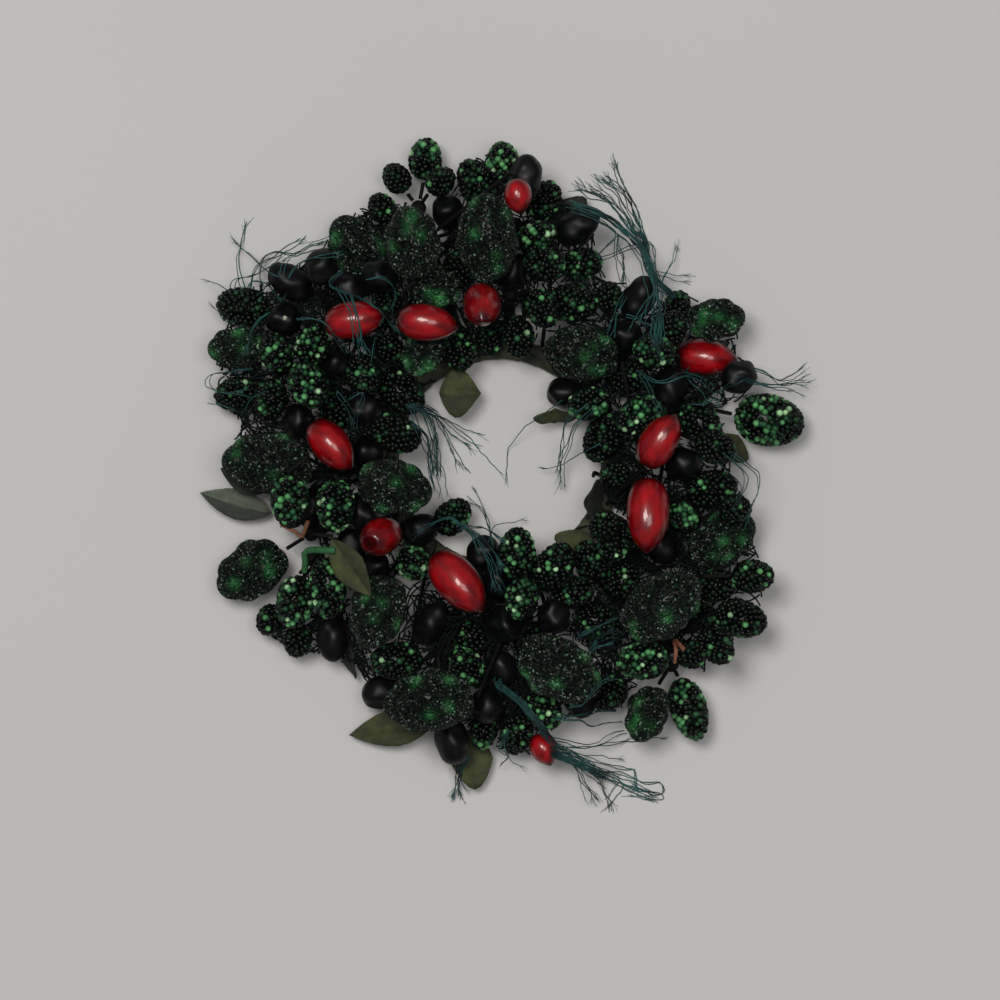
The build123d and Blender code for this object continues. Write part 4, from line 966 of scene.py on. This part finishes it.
def rooted(plan, group="still"):
    """A plan that starts on the pile: one that starts over the table is led in from the nearest skin."""
    x, y = np.array(plan[0]) * MM
    if pile_top(x, y, group) > ROOT_LEAST:
        return plan
    spot = np.array(trees[group].find_nearest(Vector((x, y, ROOT_HEIGHT)))[0])[:2]
    inside = spot + unit(spot - (x, y)) * ROOT_DEPTH
    return [tuple(inside / MM), *plan]


def settle(spots, gap, group="still"):
    """A thread laid over the pile: a gap above it, and falling no faster than stiff jute does."""
    heights = np.array([pile_top(x, y, group) for x, y in spots]) + gap
    steps = np.linalg.norm(np.diff(spots, axis=0), axis=1)
    for i, step in enumerate(steps):
        heights[i + 1] = max(heights[i + 1], heights[i] - THREAD_FALL * step)
    for i, step in reversed(list(enumerate(steps))):
        heights[i] = max(heights[i], heights[i + 1] - THREAD_FALL * step)
    return np.column_stack([spots, heights])


def thread(line, draw, spread, group):
    """A thread near a line: off to one side, more so at its end, gently wavy, and lying over the pile."""
    share = np.linspace(0, 1, len(line))
    drift = draw.normal(scale=spread, size=2) + np.outer(share**1.6, draw.normal(scale=DRIFT, size=2))
    starts = draw.uniform(0, 2 * math.pi, 4)
    beat = 2 * math.pi * np.arange(len(line)) * THREAD_STEP / SWAY_LENGTH
    sway = [np.sin(beat + starts[i]) + 0.4 * np.sin(beat * 2.3 + starts[i + 1]) for i in (0, 2)]
    spots = line + drift + np.column_stack(sway) * SWAY * (0.4 + share)[:, None]
    return settle(spots, draw.uniform(*LYING_GAPS) * MM, group)


def hairs(line, draw):
    """A brush of fine hairs that go on from the end of a thread."""
    made = []
    ahead = unit(line[-1] - line[-3])
    for _ in range(draw.integers(*HAIR_COUNTS)):
        turn = draw.normal(scale=HAIR_TURN)
        way = np.array([ahead[0] * math.cos(turn) - ahead[1] * math.sin(turn),
                        ahead[0] * math.sin(turn) + ahead[1] * math.cos(turn), ahead[2] * HAIR_RISE])
        steps = np.linspace(0, draw.uniform(*HAIR_LENGTHS) * MM, 6)[:, None]
        bends = (draw.normal(scale=HAIR_BEND), draw.normal(scale=HAIR_BEND), -HAIR_DROOP)
        droop = np.column_stack([steps * bend for bend in bends]) * steps
        hair = line[-1] + way * steps + droop
        hair[:, 2] = np.maximum(hair[:, 2], THREAD_RADIUS)
        made.append(hair)
    return made


def clear_of_moving(line):
    """The part of a thread up to where it would come near something that moves."""
    for i, place in enumerate(line):
        if near_moving(place, MOVING_GAP):
            return line[:i]
    return line


def thread_curve(name, threads, looks, body, round_sides=1):
    """One curve piece of many threads: each is a line, the thickness of its ends, and its finish."""
    curve = bpy.data.curves.new(name, "CURVE")
    curve.dimensions = "3D"
    curve.bevel_depth = THREAD_RADIUS
    curve.bevel_resolution = round_sides
    curve.use_fill_caps = True
    for line, root, tip, look in threads:
        spline = curve.splines.new("POLY")
        spline.points.add(len(line) - 1)
        spline.points.foreach_set("co", np.column_stack([line, np.ones(len(line))]).ravel())
        spline.points.foreach_set("radius", np.linspace(root, tip, len(line)))
        spline.material_index = look
    for look in looks:
        curve.materials.append(look)
    made = put(name, curve)
    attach(made, body)
    return made


def lay(plans, draw, group="still"):
    """Threads for all plans, with their hairs; a plan with many threads is a bundle, so it spreads wider."""
    threads = []
    trimmed = clear_of_moving if group == "still" else np.array
    for count, *plan in plans:
        line = smooth_line(rooted(plan, group))
        for _ in range(count):
            spread = (SPREAD_ONE + SPREAD_EACH * count) * MM
            laid = trimmed(thread(line, draw, spread, group))
            if len(laid) < 4:
                continue
            threads.append((laid, *THREAD_ENDS, 0))
            for hair in hairs(laid, draw):
                hair = trimmed(hair)
                if len(hair) > 2:
                    threads.append((hair, *HAIR_ENDS, 1))
    return threads


jutes = (teal_jute, pale_jute)
for node, plans in TUFTS.items():
    threads = lay(plans, np.random.default_rng(len(node) * 31))
    tuft = thread_curve(f"{node}_threads", threads, jutes, body_of[node])
    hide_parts(node)
    print(node, len(threads), "threads and hairs")
stray_threads = lay(STRAYS, np.random.default_rng(77))
thread_curve("stray_threads", stray_threads, jutes, "ring")
leaf_fray = lay(LEAF_FRAY, np.random.default_rng(78), "moving")
thread_curve("bottom_leaf_fray", leaf_fray, jutes, "bottom_leaf")
print("strays", len(stray_threads), "and fray", len(leaf_fray), "threads and hairs")

# %% [markdown]
# Down between the fruit a tangle of almost black twine is laid as painted shade, and hides the table.
# The gaps are found on a grid seen from above: cells under fruit are covered, and closing that pattern, by
# growing it and then shrinking it again, fills whatever is shut in by fruit. What was added is the gaps.
# Short arcs are grown there. Each starts in the open, bends as it goes, and ends where it runs into a
# fruit. Arcs that meet none are dropped, so the whole tangle is held by the pile.

# %% Gaps in the pile
CELL = 0.5 * MM
CLOSE_CELLS = 8
COVER_HEIGHT = 5 * MM
grid_low = np.min([skin[0].min(0) for skin in pile["still"]], axis=0)[:2] - 2 * CLOSE_CELLS * CELL
grid_high = np.max([skin[0].max(0) for skin in pile["still"]], axis=0)[:2] + 2 * CLOSE_CELLS * CELL
columns, rows = (np.arange(low, high, CELL) for low, high in zip(grid_low, grid_high))


def grown(cells):
    """A pattern of cells, grown by a disc."""
    made = cells.copy()
    for dx in range(-CLOSE_CELLS, CLOSE_CELLS + 1):
        for dy in range(-CLOSE_CELLS, CLOSE_CELLS + 1):
            if math.hypot(dx, dy) <= CLOSE_CELLS:
                made |= np.roll(cells, (dx, dy), axis=(0, 1))
    return made


def covered_at(x, y):
    """Whether a place is under fruit, still or moving."""
    drop = Vector((x, y, SKY))
    return any(tree.ray_cast(drop, DOWN, SKY - COVER_HEIGHT)[0] is not None for tree in trees.values())


covered = np.array([[covered_at(x, y) for y in rows] for x in columns])
outside_hole = np.hypot(columns[:, None], rows[None]) > HOOP_RADIUS - tape_radius
closed = ~grown(~grown(covered)) & outside_hole
gap_cells = np.argwhere(closed & ~covered)
print("gaps", round(len(gap_cells) * (CELL / MM) ** 2), "square mm")

# %% Painted shade: a dark tangle in the gaps
TANGLE_ARCS = 9500
TANGLE_LOW, TANGLE_HIGH = 1.0 * MM, 9.0 * MM
TANGLE_STEP = 0.8 * MM
TANGLE_STEPS = 15
TANGLE_BEND, TANGLE_CLIMB = 0.18, 0.2
TANGLE_ENDS = (1.6, 1.3)  # thickness at root and tip, as shares of a thread's


def inside_fruit(place):
    """Whether a place is behind the nearest skin of the still pile."""
    spot, normal, _, _ = trees["still"].find_nearest(Vector(place))
    return (Vector(place) - spot).dot(normal) < 0


def in_pile(place):
    """Whether a place is in the closed pattern, and clear of what moves."""
    i, j = ((place[:2] - grid_low) / CELL).round().astype(int)
    return closed[i, j] and not near_moving(place, MOVING_GAP * 2)


def arc(start, draw):
    """A bent line from a start until it runs into a fruit, leaves the pile, or is long enough."""
    heading = draw.uniform(0, 2 * math.pi)
    turning, climb = draw.normal(scale=TANGLE_BEND), draw.normal(scale=TANGLE_CLIMB)
    line = [start]
    for _ in range(TANGLE_STEPS):
        place = line[-1] + np.array([math.cos(heading), math.sin(heading), climb]) * TANGLE_STEP
        place[2] = np.clip(place[2], TANGLE_LOW, TANGLE_HIGH)
        if not in_pile(place):
            break
        line.append(place)
        if inside_fruit(place):
            break
        heading += turning
    return np.array(line)


draw = np.random.default_rng(5)
tangles = {"north_east": [], "north_west": [], "south_east": [], "south_west": []}
for cell in gap_cells[draw.integers(len(gap_cells), size=TANGLE_ARCS)]:
    spot = grid_low + (cell + draw.uniform(-0.5, 0.5, 2)) * CELL
    start = np.append(spot, draw.uniform(TANGLE_LOW, TANGLE_HIGH))
    if inside_fruit(start) or not in_pile(start):
        continue
    line = arc(start, draw)
    if len(line) > 2 and inside_fruit(line[-1]):
        quarter = ("north_" if start[1] > 0 else "south_") + ("east" if start[0] > 0 else "west")
        tangles[quarter].append((line, *TANGLE_ENDS, 0))
for quarter, arcs in tangles.items():
    # The tangle is painted shade: dark twine laid where the gaps lie in shade.
    thread_curve(f"{quarter}_painted_shade_twine", arcs, [painted_shade_jute], "ring", round_sides=0)
    print(quarter, "tangle", len(arcs), "arcs")

# %% [markdown]
# Small marks of the making: a peeled stem end, a green one, and specks of dried glue. The stem ends are
# short tubes that lie on the pile; the glue is a few lumpy caps sunk in what they sit on.

# %% Stem ends and glue
STEM_ENDS = [
    ("peeled_stem_end", (186, 126, 92), 0.45, [(-40.2, -15.4), (-41.4, -14.6), (-43, -13.8), (-44.6, -13)]),
    ("lower_stem_end", (170, 112, 84), 0.5, [(35.4, -36.4), (35.7, -38.6), (35.4, -41)]),
    ("green_stem_end", (44, 104, 58), 0.75, [(-38.8, -18.2), (-39.2, -20.4), (-39.4, -22.4)]),
]
GLUE_SPOTS = [
    (-37.3, -18.5), (-36, -17.8), (-34.7, -19.1), (2.4, 34), (4.6, 30.4), (6, 28.4), (11.4, 26.4),
    (-17.6, -30.4), (-17.2, -31.8), (-43.6, 28.8),
]
GLUE_SIZE = 0.5 * MM
GLUE_SIZES = (0.6, 1.3)
GLUE_SUNK = 0.3
GLUE_LUMPS = 0.05 * MM
GLUE_LEAN = 0.3
for name, colour, radius, plan in STEM_ENDS:
    peel = mottled_finish(name, ink(*colour) * 0.6, ink(*colour) * 1.2, 900.0, 0.6)
    line = clear_of_moving(settle(smooth_line(rooted(plan)), radius * MM))
    if len(line) > 2:
        thickness = radius * MM / THREAD_RADIUS
        thread_curve(name, [(line, thickness, thickness * 0.8, 0)], [peel], "ring")
    print(name, len(line), "points")
glue = mottled_finish("dried_glue", ink(120, 122, 104), ink(206, 204, 186), 1500.0, 0.45)
lump = cap((30, 60, 95), 9)
draw = np.random.default_rng(9)
spots = np.array([(x * MM, y * MM, pile_top(x * MM, y * MM)) for x, y in GLUE_SPOTS])
spots = spots[[spot[2] > 2 * GLUE_SIZE and not near_moving(spot, MOVING_GAP) for spot in spots]]
sizes = GLUE_SIZE * draw.uniform(*GLUE_SIZES, len(spots))
ways = unit(draw.normal(size=spots.shape) * GLUE_LEAN + (0, 0, 1))
spins = draw.uniform(*ANY_TURN, len(spots))
blobs, faces = set_out(lump, spots - ways * sizes[:, None] * GLUE_SUNK, ways, sizes, spins)
blobs = blobs + draw.normal(scale=GLUE_LUMPS, size=blobs.shape)
piece("dried_glue", blobs, faces, glue, "north_stems")
print("glue specks", len(spots))

# %% [markdown]
# The stage is a pale floor under two soft lamps, almost overhead, and an even sky. It is seen straight
# down, from far enough that near and far pieces show at almost one scale.

# %% Floor, light and camera
FLOOR_HALF = 3.0
SKY_COLOUR = (0.88, 0.93, 1.0, 1.0)
SKY_STRENGTH = 0.17
LAMP_TINT = (1.0, 0.98, 0.94)
paper = mottled_finish("pale_floor", ink(203, 202, 201), ink(208, 206, 204), 3.0, 0.9)
floor_corners = [(x * FLOOR_HALF, y * FLOOR_HALF, 0) for x, y in ((-1, -1), (1, -1), (1, 1), (-1, 1))]
floor_mesh = bpy.data.meshes.new("floor")
floor_mesh.from_pydata(floor_corners, [], [(0, 1, 2, 3)])
floor_mesh.materials.append(paper)
floor = put("floor", floor_mesh)

world = bpy.data.worlds.new("studio_sky")
world.use_nodes = True
sky = world.node_tree.nodes["Background"]
sky.inputs["Color"].default_value = SKY_COLOUR
sky.inputs["Strength"].default_value = SKY_STRENGTH
bpy.context.scene.world = world


def lamp(name, place, size, watts):
    """A square soft lamp that faces the middle of the ring."""
    light = bpy.data.lights.new(name, "AREA")
    light.size = size
    light.energy = watts
    light.color = LAMP_TINT
    made = put(name, light)
    made.location = place
    made.rotation_euler = (-Vector(place)).to_track_quat("-Z", "Y").to_euler()


lamp("window_lamp", (-0.3, 0.3, 1.5), 0.45, 11.5)
lamp("room_lamp", (0.25, 0.05, 1.7), 0.6, 6.6)

FRAME_WIDTH = 202.5 * MM
VIEW_MIDDLE = (0.0, -8 * MM)
VIEW_HEIGHT = 1.3
MID_HEIGHT = 13 * MM
camera = bpy.data.cameras.new("camera")
camera.angle = 2 * math.atan(FRAME_WIDTH / 2 / (VIEW_HEIGHT - MID_HEIGHT))
eye = put("camera", camera)
eye.location = (*VIEW_MIDDLE, VIEW_HEIGHT)
bpy.context.scene.camera = eye
bpy.context.scene.view_settings.view_transform = "Standard"
print("camera", round(math.degrees(camera.angle), 1), "degrees wide")
